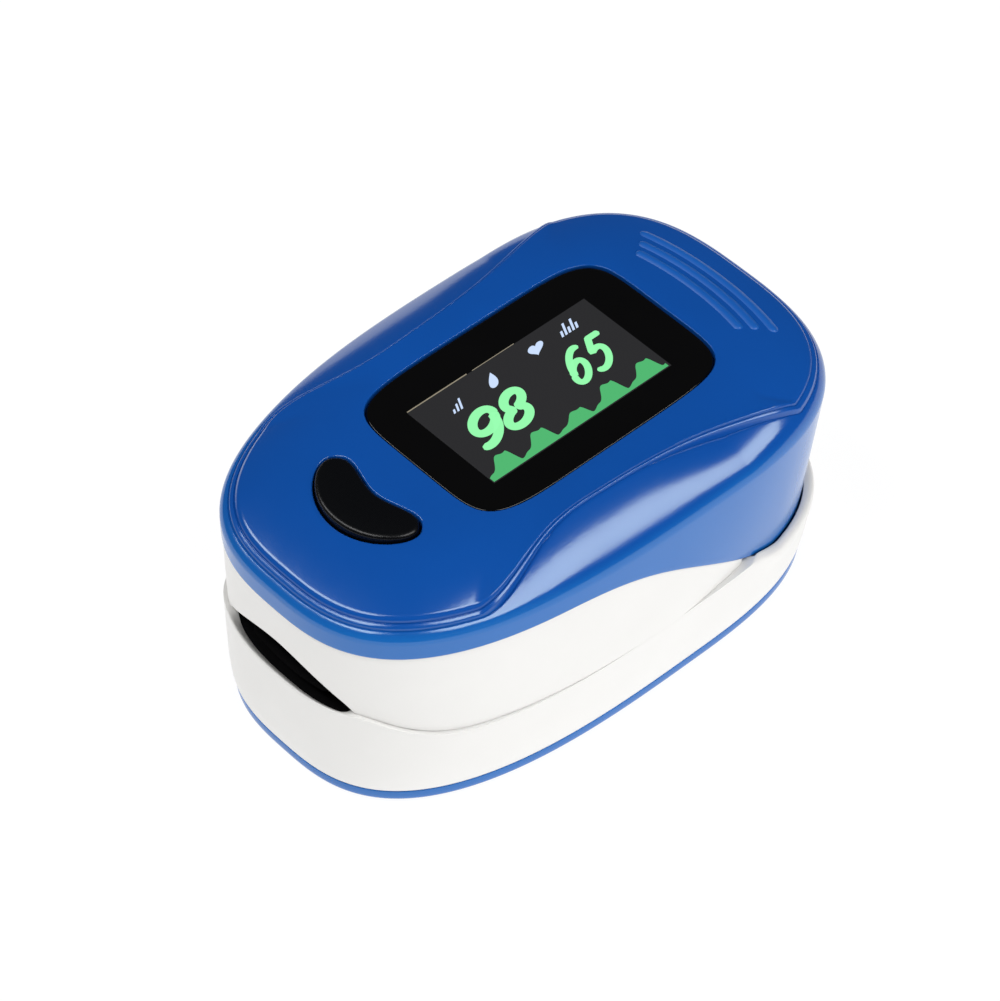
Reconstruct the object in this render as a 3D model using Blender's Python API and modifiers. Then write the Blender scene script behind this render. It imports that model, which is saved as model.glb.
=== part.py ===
"""Fingertip pulse oximeter: two sprung jaws on a rear hinge, closing on a finger.

The lower jaw holds two AAA cells and the light sensor.
The upper jaw holds the display, the board and the light source.
Sizes are millimetres in the object's own frame: +Z up, -Y towards the finger mouth, +Y towards the hinge end,
origin on the surface it rests on, under the middle of its length. MM turns them into Blender's metres.
"""

import math

import bmesh
import bpy
import numpy as np
from mathutils import Matrix

MM = 0.001
GAP = 0.3
SHARP_ANGLE = math.radians(30.0)

# Plan outline of the body: two superellipse halves that meet at the widest place
RING_POINTS = 64
WIDEST_Y = 6.5
FRONT_POWER = 2.85
REAR_POWER = 3.0
BODY_REAR = 31.3

# Blue top cover and the rim of the upper jaw, which is fuller towards the rear than the tray
RIM_Z = 23.2
RIM_FRONT = -30.5
RIM_WIDEST_Y = 8.5
RIM_HALF_WIDTH = 19.75
RIM_POWERS = (2.8, 2.9)
PANEL_Z = 27.7
CEILING_Z = 25.7
COVER_WALL = 1.3
COVER_EDGE_FRONT_Z = 21.3
COVER_EDGE_DROP = 13.5
COVER_EDGE_START_Y = -12.0
COVER_EDGE_LENGTH = 33.0
COVER_EDGE_POWER = 1.35
COVER_EDGE_LOWEST_Z = 9.9
TAIL_START_Y = 2.0
TAIL_LENGTH = 16.0
TAIL_LEAN = 1.85
SIDE_LEAN = 0.4
LEAN_HEIGHT = 14.0

# Raised panel of the cover: an hourglass in plan whose edge lies lower at both ends
WAIST_Y = 1.5
PANEL_INSET = 1.55
WAIST_DEPTH = 4.5
PANEL_EDGE_FRONT_Z = 25.05
PANEL_EDGE_REAR_RISE = 0.85
PANEL_LEVEL = 0.6
PANEL_LIP = 0.988
STEP = 0.45

# Shoulder round the panel: a round knee at the rim, then a slope that slowly levels out
KNEE_RADIUS = 1.25
KNEE_WAIST_GROWTH = 0.75
KNEE_REAR_GROWTH = 1.35
KNEE_REAR_Y = 8.0
SLOPE_ANGLE = 31.0
SLOPE_WAIST_GROWTH = 4.0
SLOPE_REACH = 7.5

# White shells and the seam between the jaws
SEAM_SIDE_Z = 10.0
SEAM_MOUTH_RISE = 2.6
SEAM_RISE_FROM_X = 16.5
MOUTH_HALF_WIDTH = 9.3
MOUTH_ARCH = 3.7
MOUTH_DIP = 0.5
BAND_INSET = 0.12
BAND_END_Y = 12.6
CUP_INSET = 1.6
CUP_WALL = 1.1
MOUTH_THINNING = 0.8
CUP_EDGE_Z = 16.0
ROOF_Z = 19.0
ROOF_TOP_Z = 20.2
TRAY_WALL = 1.1
TRAY_BOTTOM_Z = 1.6
TRAY_MIDDLE_Z = 4.5

# Battery door and the rail that guides it
DOOR_TOP_Z = 1.3
RAIL_HALF_WIDTH = 0.6
RAIL_TOP_Z = 3.3
RAIL_HALF_LENGTH = 21.0

# Hinge and its spring
HINGE_Y = 16.0
HINGE_Z = 14.4
PIN_RADIUS = 1.0
PIN_HALF_LENGTH = 14.8
LUG_RADIUS = 2.2
LOWER_LUG_X = (10.6, 13.4)
UPPER_LUG_X = (13.7, 14.9)
SPRING_RADIUS = 1.75
SPRING_WIRE_RADIUS = 0.35
SPRING_TURNS = 4
SPRING_PITCH = 1.2
SPRING_STEPS = 12

# Cells, their frame and their contacts
CELL_RADIUS = 5.15
CELL_LENGTH = 44.5
CELL_X = 7.2
CELL_Z = 6.75
CELL_FRONT_Y = -21.0
BAY_RADIUS = 5.45
BAY_FRONT_Y = -21.5
BAY_REAR_Y = 24.6
FRAME_HALF_WIDTH = 13.5
FRAME_TOP_HALF_WIDTH = 12.2
FRAME_FRONT_Y = -26.2
FRAME_FRONT_HALF_WIDTH = 10.2
FRAME_REAR_Y = 25.4
FRAME_CORNER_Y = -20.6
FRAME_REAR_CORNER = ((13.5, 20.5), (11.8, 23.0), (9.0, 25.4))
FRAME_SHOULDER_Z = 9.6
FRAME_TOP_Z = 14.9
DECK_Z = 12.8
STOP_FRONT_Y = 10.6
STOP_REAR_Y = 11.8
STOP_TOP_Z = 17.6
STOP_HALF_WIDTH = 8.4

# Finger channel: a floor and a roof of equal curve, each with its own pad
FLOOR_Z = 12.1
CHANNEL_TOP_Z = 17.9
CHANNEL_CURVE = 0.034
CHANNEL_HALF_WIDTH = 9.0
PAD_THICKNESS = 0.6
LOWER_PAD_FRONT_Y = -29.0
UPPER_PAD_FRONT_Y = -27.2
FLEX_Y = 12.5
FLEX_SPLIT_Z = 15.0
SENSOR_Y = -8.0
SENSOR_HOLE_RADIUS = 2.4

# Display, button and board
WINDOW_HALF_WIDTH = 10.05
WINDOW_FRONT_Y = -12.25
WINDOW_REAR_Y = 18.85
WINDOW_TOP_Z = 27.55
WINDOW_BOTTOM_Z = 26.8
WINDOW_POWER = 6.0
WINDOW_LEDGE = 1.8
BUTTON_HALF_WIDTH = 5.73
BUTTON_MIDDLE_Y = -20.27
BUTTON_HALF_DEPTH = 2.36
BUTTON_BEND = 0.085
BUTTON_POWER = 2.6
BUTTON_TOP_Z = 28.1
SWITCH_Y = -20.0
BOARD_BOTTOM_Z = 21.4
BOARD_TOP_Z = 22.4
BOARD_HALF_WIDTH = 11.4
BOARD_FRONT_Y = -24.0
BOARD_REAR_Y = 21.0

# Fasteners
SCREW_RADIUS = 0.75
SCREW_HEAD_RADIUS = 1.4
BOSS_X = 13.9
BOSS_YS = (-12.0, 10.0)
BOSS_RADIUS = 1.8
BOSS_BOTTOM_Z = 20.6
EAR_X = 15.2
EAR_YS = (-8.0, 8.5)
EAR_BOTTOM_Z = 2.7
EAR_TOP_Z = 3.7

PARTS = "pulse_oximeter"
CUTTERS = "cutters"


def clear_scene():
    """Empties the scene and makes one collection for the parts and one for the cutters."""
    for obj in list(bpy.data.objects):
        bpy.data.objects.remove(obj, do_unlink=True)
    for name in (PARTS, CUTTERS):
        collection = bpy.data.collections.new(name)
        bpy.context.scene.collection.children.link(collection)


def make_material(name, colour, roughness, metallic=0.0):
    """A Principled material of one colour."""
    material = bpy.data.materials.new(name)
    material.use_nodes = True
    shader = material.node_tree.nodes["Principled BSDF"]
    shader.inputs["Base Color"].default_value = (*colour, 1.0)
    shader.inputs["Roughness"].default_value = roughness
    shader.inputs["Metallic"].default_value = metallic
    return material


def axis_empty(name, place):
    """An empty that stands on a joint's axis."""
    empty = bpy.data.objects.new(name, None)
    bpy.data.collections[PARTS].objects.link(empty)
    empty.location = [value * MM for value in place]
    bpy.context.view_layer.update()
    return empty


def hold(obj, parent):
    """Parents a placed object to an axis empty without moving it."""
    if parent is not None:
        bpy.context.view_layer.update()
        obj.parent = parent
        obj.matrix_parent_inverse = parent.matrix_world.inverted()


def add_part(mesh, material, parent=None):
    """Puts a mesh into the parts collection under its own name, smooth but for its sharp edges."""
    mesh.shade_smooth()
    mesh.set_sharp_from_angle(angle=SHARP_ANGLE)
    obj = bpy.data.objects.new(mesh.name, mesh)
    bpy.data.collections[PARTS].objects.link(obj)
    mesh.materials.append(material)
    hold(obj, parent)
    return obj


def combine(target, operation, helpers):
    """Adds one exact Boolean for each helper mesh, which stays in the cutters collection."""
    for mesh in helpers:
        step = len(target.modifiers)
        cutter = bpy.data.objects.new(f"{target.name}_{operation.lower()}_{step}", mesh)
        bpy.data.collections[CUTTERS].objects.link(cutter)
        cutter.hide_render = True
        cutter.display_type = "WIRE"
        modifier = target.modifiers.new(f"{operation.lower()}_{step}", "BOOLEAN")
        modifier.operation = operation
        modifier.object = cutter


def finished(bm, name):
    """A mesh in metres from a bmesh in millimetres, with its faces pointing out."""
    bmesh.ops.recalc_face_normals(bm, faces=bm.faces)
    bmesh.ops.scale(bm, vec=(MM, MM, MM), verts=bm.verts)
    mesh = bpy.data.meshes.new(name)
    bm.to_mesh(mesh)
    bm.free()
    return mesh


def box(low, high, name="block"):
    """A block between two corners."""
    low, high = np.array(low, float), np.array(high, float)
    bm = bmesh.new()
    bmesh.ops.create_cube(bm, size=1.0)
    bmesh.ops.scale(bm, vec=high - low, verts=bm.verts)
    bmesh.ops.translate(bm, vec=(low + high) / 2, verts=bm.verts)
    return finished(bm, name)


def rod(start, end, radius, name="rod", segments=20):
    """A cylinder between two points on a line along X, Y or Z."""
    start, end = np.array(start, float), np.array(end, float)
    bm = bmesh.new()
    depth = float(np.linalg.norm(end - start))
    bmesh.ops.create_cone(bm, cap_ends=True, segments=segments, radius1=radius, radius2=radius, depth=depth)
    along = int(np.argmax(np.abs(end - start)))
    if along < 2:
        quarter = Matrix.Rotation(math.pi / 2, 3, "YX"[along])
        bmesh.ops.rotate(bm, matrix=quarter, verts=bm.verts)
    bmesh.ops.translate(bm, vec=(start + end) / 2, verts=bm.verts)
    return finished(bm, name)


def upright_rods(x, ys, low, high, radius):
    """One upright cylinder on each side at each place along Y."""
    return [rod((side * x, y, low), (side * x, y, high), radius) for side in (-1, 1) for y in ys]


def prism(outline, low, high, name="prism", facing="Z"):
    """An outline extruded between two levels of the axis it faces: (x, y) on Z, (y, z) on X, (x, z) on Y."""
    order = {"Z": (0, 1, 2), "X": (2, 0, 1), "Y": (0, 2, 1)}[facing]
    bm = bmesh.new()
    flat = [np.array((a, b, low))[list(order)] for a, b in outline]
    face = bm.faces.new([bm.verts.new(point) for point in flat])
    grown = bmesh.ops.extrude_face_region(bm, geom=[face])
    moved = [item for item in grown["geom"] if isinstance(item, bmesh.types.BMVert)]
    bmesh.ops.translate(bm, vec=np.array((0, 0, high - low))[list(order)], verts=moved)
    return finished(bm, name)


def stack(rings, name, closed=False):
    """A solid lofted through rings of equal count: capped at both ends, or closed from last to first."""
    count = len(rings[0])
    following = np.roll(np.arange(count), -1)
    pairs = [(level, level + 1) for level in range(len(rings) - 1)]
    if closed:
        pairs.append((len(rings) - 1, 0))
    faces = []
    for below, above in pairs:
        low, high = below * count, above * count
        faces += [(low + k, low + n, high + n, high + k) for k, n in enumerate(following)]
    if not closed:
        last = (len(rings) - 1) * count
        faces.append(tuple(range(count - 1, -1, -1)))
        faces.append(tuple(range(last, last + count)))
    mesh = bpy.data.meshes.new(name)
    mesh.from_pydata((np.concatenate(rings) * MM).tolist(), [], faces)
    mesh.update()
    return mesh


def sheet_solid(name, rows_y, half_width, top, bottom, columns):
    """A closed solid between a top and a bottom height across X, with a half width that changes along Y."""
    y, u = np.meshgrid(rows_y, np.linspace(-1.0, 1.0, columns), indexing="ij")
    x = u * half_width(y)
    upper = np.stack([x, y, top(x)], axis=-1).reshape(-1, 3)
    lower = np.stack([x, y, bottom(x)], axis=-1).reshape(-1, 3)
    rows, total = len(rows_y), len(rows_y) * columns
    faces = []
    for row in range(rows - 1):
        for column in range(columns - 1):
            a = row * columns + column
            b = a + columns
            faces.append((a, a + 1, b + 1, b))
            faces.append((total + a, total + b, total + b + 1, total + a + 1))
    edge = list(range(columns))
    edge += [row * columns + columns - 1 for row in range(1, rows)]
    edge += [(rows - 1) * columns + column for column in range(columns - 2, -1, -1)]
    edge += [row * columns for row in range(rows - 2, 0, -1)]
    faces += [(a, total + a, total + b, b) for a, b in zip(edge, edge[1:] + edge[:1])]
    bm = bmesh.new()
    verts = [bm.verts.new(point) for point in np.concatenate([upper, lower])]
    for face in faces:
        bm.faces.new([verts[index] for index in face])
    return finished(bm, name)


def turned(name, profile, material, place, turn=(0.0, 0.0, 0.0), parent=None):
    """A profile of (radius, height), top to bottom, spun about its own Z axis and laid at its place."""
    mesh = bpy.data.meshes.new(name)
    points = [(radius * MM, 0.0, height * MM) for radius, height in profile]
    mesh.from_pydata(points, [(i, i + 1) for i in range(len(points) - 1)], [])
    obj = add_part(mesh, material)
    obj.location = [value * MM for value in place]
    obj.rotation_euler = turn
    spin = obj.modifiers.new("spin", "SCREW")
    spin.steps = spin.render_steps = 20
    spin.use_merge_vertices = True
    spin.merge_threshold = 0.00001
    hold(obj, parent)
    return obj


def wire(name, points, radius, material):
    """A round wire along a list of points."""
    curve = bpy.data.curves.new(name, "CURVE")
    curve.dimensions = "3D"
    curve.bevel_depth = radius * MM
    curve.bevel_resolution = 1
    curve.use_fill_caps = True
    spline = curve.splines.new("POLY")
    spline.points.add(len(points) - 1)
    weighted = np.concatenate([np.asarray(points) * MM, np.ones((len(points), 1))], axis=1)
    spline.points.foreach_set("co", weighted.ravel())
    obj = bpy.data.objects.new(name, curve)
    bpy.data.collections[PARTS].objects.link(obj)
    curve.materials.append(material)
    return obj


def turn_gap(coil, steps, radius):
    """The least clear distance between one turn of a coil and the turns after it, measured on its points."""
    apart = np.linalg.norm(coil[:, None] - coil[None], axis=2)
    order = np.arange(len(coil))
    other_turn = order[None] - order[:, None] > steps // 2
    return apart[other_turn].min() - 2 * radius


def mirrored(outline):
    """A half outline at +X, front to rear, closed with its mirror image."""
    return list(outline) + [(-x, y) for x, y in reversed(outline) if x > 0]


def smooth(t):
    """The cubic ease from 0 to 1."""
    t = np.clip(t, 0.0, 1.0)
    return t * t * (3.0 - 2.0 * t)


def even_steps(x, y, count):
    """A closed curve read again at steps of equal length."""
    length = np.concatenate([[0.0], np.cumsum(np.hypot(np.diff(x), np.diff(y)))])
    even = np.linspace(0.0, length[-1], count, endpoint=False)
    return np.stack([np.interp(even, length, x), np.interp(even, length, y)], axis=1)


def superellipse(half_width, middle, front, rear, powers, count):
    """An outline of two superellipse halves, from its front middle round the +X side."""
    angle = np.linspace(-math.pi / 2, 1.5 * math.pi, 4001)
    cosine, sine = np.cos(angle), np.sin(angle)
    power = np.where(sine < 0, powers[0], powers[1])
    reach = np.where(sine < 0, middle - front, rear - middle)
    x = half_width * np.sign(cosine) * np.abs(cosine) ** (2 / power)
    y = middle + reach * np.sign(sine) * np.abs(sine) ** (2 / power)
    return even_steps(x, y, count)


def body_outline(front, rear, half_width):
    """The lower jaw's plan outline at one level."""
    return superellipse(half_width, WIDEST_Y, front, rear, (FRONT_POWER, REAR_POWER), RING_POINTS)


def rim_outline():
    """The upper jaw's plan outline at its rim."""
    return superellipse(RIM_HALF_WIDTH, RIM_WIDEST_Y, RIM_FRONT, BODY_REAR, RIM_POWERS, RING_POINTS)


def inset(ring, distance):
    """A plan ring moved inwards along its normals, by one distance or one for each point."""
    tangent = np.roll(ring, -1, axis=0) - np.roll(ring, 1, axis=0)
    tangent /= np.linalg.norm(tangent, axis=1, keepdims=True)
    inward = np.stack([-tangent[:, 1], tangent[:, 0]], axis=1)
    return ring + inward * np.broadcast_to(distance, len(ring))[:, None]


def at_height(ring, height):
    """A plan ring lifted to one height, or to one for each point."""
    return np.concatenate([ring, np.broadcast_to(height, len(ring))[:, None]], axis=1)


def cover_edge_z(y):
    """Lower edge of the blue cover: level at the front, then an S down to the tail."""
    along = np.clip((y - COVER_EDGE_START_Y) / COVER_EDGE_LENGTH, 0.0, 1.0)
    drop = COVER_EDGE_DROP * smooth(along**COVER_EDGE_POWER)
    return np.maximum(COVER_EDGE_FRONT_Z - drop, COVER_EDGE_LOWEST_Z)


def skin_lean(y, z):
    """How far the upper jaw's side leans in below the rim: a little in front, more at the tail."""
    lean = SIDE_LEAN + TAIL_LEAN * smooth((y - TAIL_START_Y) / TAIL_LENGTH)
    return lean * np.clip((RIM_Z - z) / LEAN_HEIGHT, 0.0, None)


def waist(y):
    """1 at the waist of the raised panel, going to 0 towards both ends of the body, faster in front."""
    front = np.clip((y + 19.0) / 17.5, 0.0, 1.0)
    rear = np.clip((y + 2.0) / 23.0, 0.0, 1.0)
    return smooth(1.0 - (1.0 - front) ** 1.6) * (1.0 - rear**2.4)


def panel_edge_z(y):
    """Height of the panel's edge: level with the panel at the waist, low in front and less low behind."""
    end_z = PANEL_EDGE_FRONT_Z + PANEL_EDGE_REAR_RISE * smooth((y + 5.0) / 20.0)
    return end_z + (PANEL_Z - end_z) * waist(y) ** 0.55


def shoulder_z(distance, y):
    """Height of the shoulder in from the rim: a circle up to the angle of the slope, then the slope."""
    narrow = waist(y)
    rear = smooth((y - KNEE_REAR_Y) / 12.0)
    radius = KNEE_RADIUS + np.maximum(KNEE_WAIST_GROWTH * narrow, KNEE_REAR_GROWTH * rear)
    angle = np.radians(SLOPE_ANGLE + SLOPE_WAIST_GROWTH * narrow)
    turn = radius * (1.0 - np.sin(angle))
    knee = np.sqrt(radius**2 - (radius - np.minimum(distance, turn)) ** 2)
    beyond = np.maximum(distance - turn, 0.0)
    return RIM_Z + knee + np.tan(angle) * SLOPE_REACH * (1.0 - np.exp(-beyond / SLOPE_REACH))


def panel_fall(size):
    """Share of the fall from the panel's level middle to its edge, where the plan has a size of 0 to 1."""
    slow = np.clip((size - PANEL_LEVEL) / (1.0 - PANEL_LEVEL), 0.0, 1.0)
    quick = np.clip((size - PANEL_LIP) / (1.0 - PANEL_LIP), 0.0, 1.0)
    return 0.94 * slow**2 + 0.06 * quick**2


def seam_z(ring):
    """Height of the seam between the jaws: level along the sides, rising to the corners of the mouth."""
    x, y = np.abs(ring[:, 0]), ring[:, 1]
    rise = smooth((SEAM_RISE_FROM_X - x) / (SEAM_RISE_FROM_X - MOUTH_HALF_WIDTH))
    return SEAM_SIDE_Z + np.where(y < 0, SEAM_MOUTH_RISE * rise, 0.0)


def mouth_swell(ring):
    """1 in the middle of the mouth, 0 at its corners and round the rest of the body."""
    x, y = np.abs(ring[:, 0]), ring[:, 1]
    return np.where(y < 0, np.clip(1.0 - (x / MOUTH_HALF_WIDTH) ** 2, 0.0, None), 0.0)


def channel_floor(x):
    """Height of the finger channel's floor across its width."""
    return FLOOR_Z + CHANNEL_CURVE * x**2


def channel_roof(x):
    """Height of the finger channel's roof across its width."""
    return CHANNEL_TOP_Z - CHANNEL_CURVE * np.minimum(np.abs(x), CHANNEL_HALF_WIDTH) ** 2


def pad_half_width(y, front, widest):
    """Half width of a pad along Y: narrow in the round mouth, then full."""
    return np.minimum(widest, 5.0 + 1.05 * (y - front))


def window_outline(grow):
    """The display window's rounded rectangle, grown or shrunk."""
    middle = (WINDOW_FRONT_Y + WINDOW_REAR_Y) / 2
    front, rear = WINDOW_FRONT_Y - grow, WINDOW_REAR_Y + grow
    return superellipse(WINDOW_HALF_WIDTH + grow, middle, front, rear, (WINDOW_POWER, WINDOW_POWER), 40)


def button_outline(grow):
    """The button's bean: a superellipse laid along a parabola, whose ends reach towards the display."""
    angle = np.linspace(-math.pi / 2, 1.5 * math.pi, 2001)
    cosine, sine = np.cos(angle), np.sin(angle)
    along = (BUTTON_HALF_WIDTH + grow) * np.sign(cosine) * np.abs(cosine) ** (2 / BUTTON_POWER)
    across = (BUTTON_HALF_DEPTH + grow) * np.sign(sine) * np.abs(sine) ** (2 / BUTTON_POWER)
    slope = 2 * BUTTON_BEND * along
    steep = np.hypot(slope, 1.0)
    x = along - across * slope / steep
    y = BUTTON_MIDDLE_Y + BUTTON_BEND * along**2 + across / steep
    return even_steps(x, y, 32)


def top_cover(material, parent):
    """The blue shell: a raised hourglass panel, a shoulder beside it, a round rim and a skirt.

    The skirt dips to the tail. The panel's edge is a small step above the shoulder, and inside it the panel
    rises to its level middle.
    """
    rim = rim_outline()
    y = rim[:, 1]
    edge = cover_edge_z(y)
    middle = (edge + RIM_Z) / 2
    panel_inset = PANEL_INSET + WAIST_DEPTH * waist(y)
    panel_low = panel_edge_z(y)
    levels = [
        (panel_inset + 2.9, CEILING_Z),
        (2.3, 24.2),
        (COVER_WALL, 23.1),
        (skin_lean(y, middle) + COVER_WALL, middle),
        (skin_lean(y, edge) + COVER_WALL, edge),
        (skin_lean(y, edge), edge),
        (skin_lean(y, middle), middle),
    ]
    for share in (0.0, 0.04, 0.14, 0.3, 0.6, 1.0):
        distance = (panel_inset - STEP) * share
        levels.append((distance, shoulder_z(distance, y)))
    levels.append((panel_inset, panel_low))
    rings = [at_height(inset(rim, distance), height) for distance, height in levels]
    panel_edge = inset(rim, panel_inset)
    panel_middle = np.array((0.0, WAIST_Y))
    for size in (PANEL_LIP, 0.95, 0.85, 0.72, PANEL_LEVEL):
        ring = panel_middle + (panel_edge - panel_middle) * size
        rings.append(at_height(ring, PANEL_Z - (PANEL_Z - panel_low) * panel_fall(size)))
    cover = add_part(stack(rings, "top_cover"), material, parent)
    combine(cover, "UNION", upright_rods(BOSS_X, BOSS_YS, BOSS_BOTTOM_Z, CEILING_Z - 0.2, BOSS_RADIUS))
    holes = [
        prism(window_outline(GAP), WINDOW_BOTTOM_Z - GAP, PANEL_Z + 1.0),
        prism(window_outline(-WINDOW_LEDGE), CEILING_Z - 1.0, PANEL_Z + 1.0),
        prism(button_outline(GAP), CEILING_Z - 1.0, PANEL_Z + 1.0),
    ]
    holes += upright_rods(BOSS_X, BOSS_YS, BOSS_BOTTOM_Z - 1.0, CEILING_Z - 0.7, SCREW_RADIUS + GAP)
    combine(cover, "DIFFERENCE", holes)


def upper_housing(material, parent):
    """The white upper shell: a roof over the finger, a band that shows below the cover, and two hinge lugs.

    The band ends where the cover comes down over it; behind that the wall is only the inner one.
    """
    rim = rim_outline()
    y = rim[:, 1]
    low = seam_z(rim) + GAP + MOUTH_ARCH * mouth_swell(rim)
    low += (CUP_EDGE_Z - low) * smooth((y - BAND_END_Y - 1.2) / 3.0)
    inner_low = low + 0.2
    ledge = np.maximum(cover_edge_z(y) - GAP, low + 0.05)
    upstand = np.maximum(ROOF_TOP_Z, ledge + 0.1)
    band = BAND_INSET + (CUP_INSET - 0.1 - BAND_INSET) * smooth((y - BAND_END_Y + 2.4) / 2.4)
    inner = CUP_INSET + CUP_WALL - MOUTH_THINNING * smooth((-y - 18.0) / 6.0)
    levels = (
        (skin_lean(y, ROOF_Z) + inner, ROOF_Z),
        (skin_lean(y, inner_low) + inner, inner_low),
        (skin_lean(y, low) + band, low),
        (skin_lean(y, ledge) + band, ledge),
        (skin_lean(y, ledge) + CUP_INSET, ledge),
        (skin_lean(y, upstand) + CUP_INSET, upstand),
        (skin_lean(y, upstand) + CUP_INSET + 0.7, upstand),
        (skin_lean(y, ROOF_TOP_Z) + CUP_INSET + 0.8, ROOF_TOP_Z),
    )
    rings = [at_height(inset(rim, distance), height) for distance, height in levels]
    housing = add_part(stack(rings, "upper_housing"), material, parent)
    lugs = []
    for side in (-1, 1):
        x = sorted((side * UPPER_LUG_X[0], side * UPPER_LUG_X[1]))
        low_corner = (x[0], HINGE_Y - LUG_RADIUS, HINGE_Z - LUG_RADIUS)
        lugs.append(box(low_corner, (x[1], HINGE_Y + LUG_RADIUS, ROOF_Z + 0.4)))
    combine(housing, "UNION", lugs)
    pin_hole = rod((-15.0, HINGE_Y, HINGE_Z), (15.0, HINGE_Y, HINGE_Z), PIN_RADIUS + GAP)
    flex_slot = box((-1.7, FLEX_Y - 0.6, ROOF_Z - 1.0), (1.7, FLEX_Y + 0.6, ROOF_TOP_Z + 1.0))
    light_slot = box((-1.3, SENSOR_Y + 2.5, ROOF_Z - 1.0), (1.3, SENSOR_Y + 3.6, ROOF_TOP_Z + 1.0))
    screw_holes = upright_rods(BOSS_X, BOSS_YS, ROOF_Z - 1.0, ROOF_TOP_Z + 0.8, SCREW_RADIUS + GAP)
    combine(housing, "DIFFERENCE", [pin_hole, flex_slot, light_slot, *screw_holes])


def lower_housing(material):
    """The white tray: a wall round the cells that leans out as it rises, with four screw bosses inside.

    At the rear its lip is wider and closes the gap to the cover's tail.
    """
    foot = body_outline(-30.3, 30.3, 18.6)
    middle = body_outline(-30.75, 30.8, 18.85)
    lip = body_outline(-30.75, BODY_REAR, 19.1)
    lip_z = seam_z(lip) - MOUTH_DIP * mouth_swell(lip)
    lip_width = TRAY_WALL + 0.4 * smooth((lip[:, 1] - 14.0) / 14.0)
    rings = [
        at_height(foot, TRAY_BOTTOM_Z),
        at_height(middle, TRAY_MIDDLE_Z),
        at_height(lip, lip_z),
        at_height(inset(lip, lip_width), lip_z),
        at_height(inset(lip, lip_width), lip_z - 0.8),
        at_height(inset(lip, TRAY_WALL), lip_z - 1.2),
        at_height(inset(middle, TRAY_WALL), TRAY_MIDDLE_Z),
        at_height(inset(foot, TRAY_WALL), TRAY_BOTTOM_Z),
    ]
    tray = add_part(stack(rings, "lower_housing", closed=True), material)
    blocks = []
    for side in (-1, 1):
        x = sorted((side * (FRAME_HALF_WIDTH + GAP), side * 18.1))
        blocks += [box((x[0], y - 1.9, EAR_TOP_Z + GAP), (x[1], y + 1.9, 9.0)) for y in EAR_YS]
    combine(tray, "UNION", blocks)
    holes = upright_rods(EAR_X, EAR_YS, EAR_BOTTOM_Z, 8.4, SCREW_RADIUS + GAP)
    notch = RAIL_HALF_WIDTH + GAP
    holes.append(box((-notch, 26.0, 1.0), (notch, 33.0, RAIL_TOP_Z + GAP)))
    combine(tray, "DIFFERENCE", holes)


def battery_door(material, parent):
    """The blue sliding floor: a thin plate with a rounded lower edge, finger grooves and one guide rail."""
    levels = ((0.45, 0.0), (0.1, 0.35), (0.0, DOOR_TOP_Z))
    plan = body_outline(-30.25, 30.25, 18.55)
    rings = [at_height(inset(plan, distance), height) for distance, height in levels]
    door = add_part(stack(rings, "battery_door"), material, parent)
    length = RAIL_HALF_LENGTH
    rail = box((-RAIL_HALF_WIDTH, -length, DOOR_TOP_Z - 0.3), (RAIL_HALF_WIDTH, length, RAIL_TOP_Z))
    combine(door, "UNION", [rail])
    grooves = [box((-5.0, y - 0.4, -0.5), (5.0, y + 0.4, 0.3)) for y in (20.0, 21.8, 23.6)]
    combine(door, "DIFFERENCE", grooves)


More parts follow.
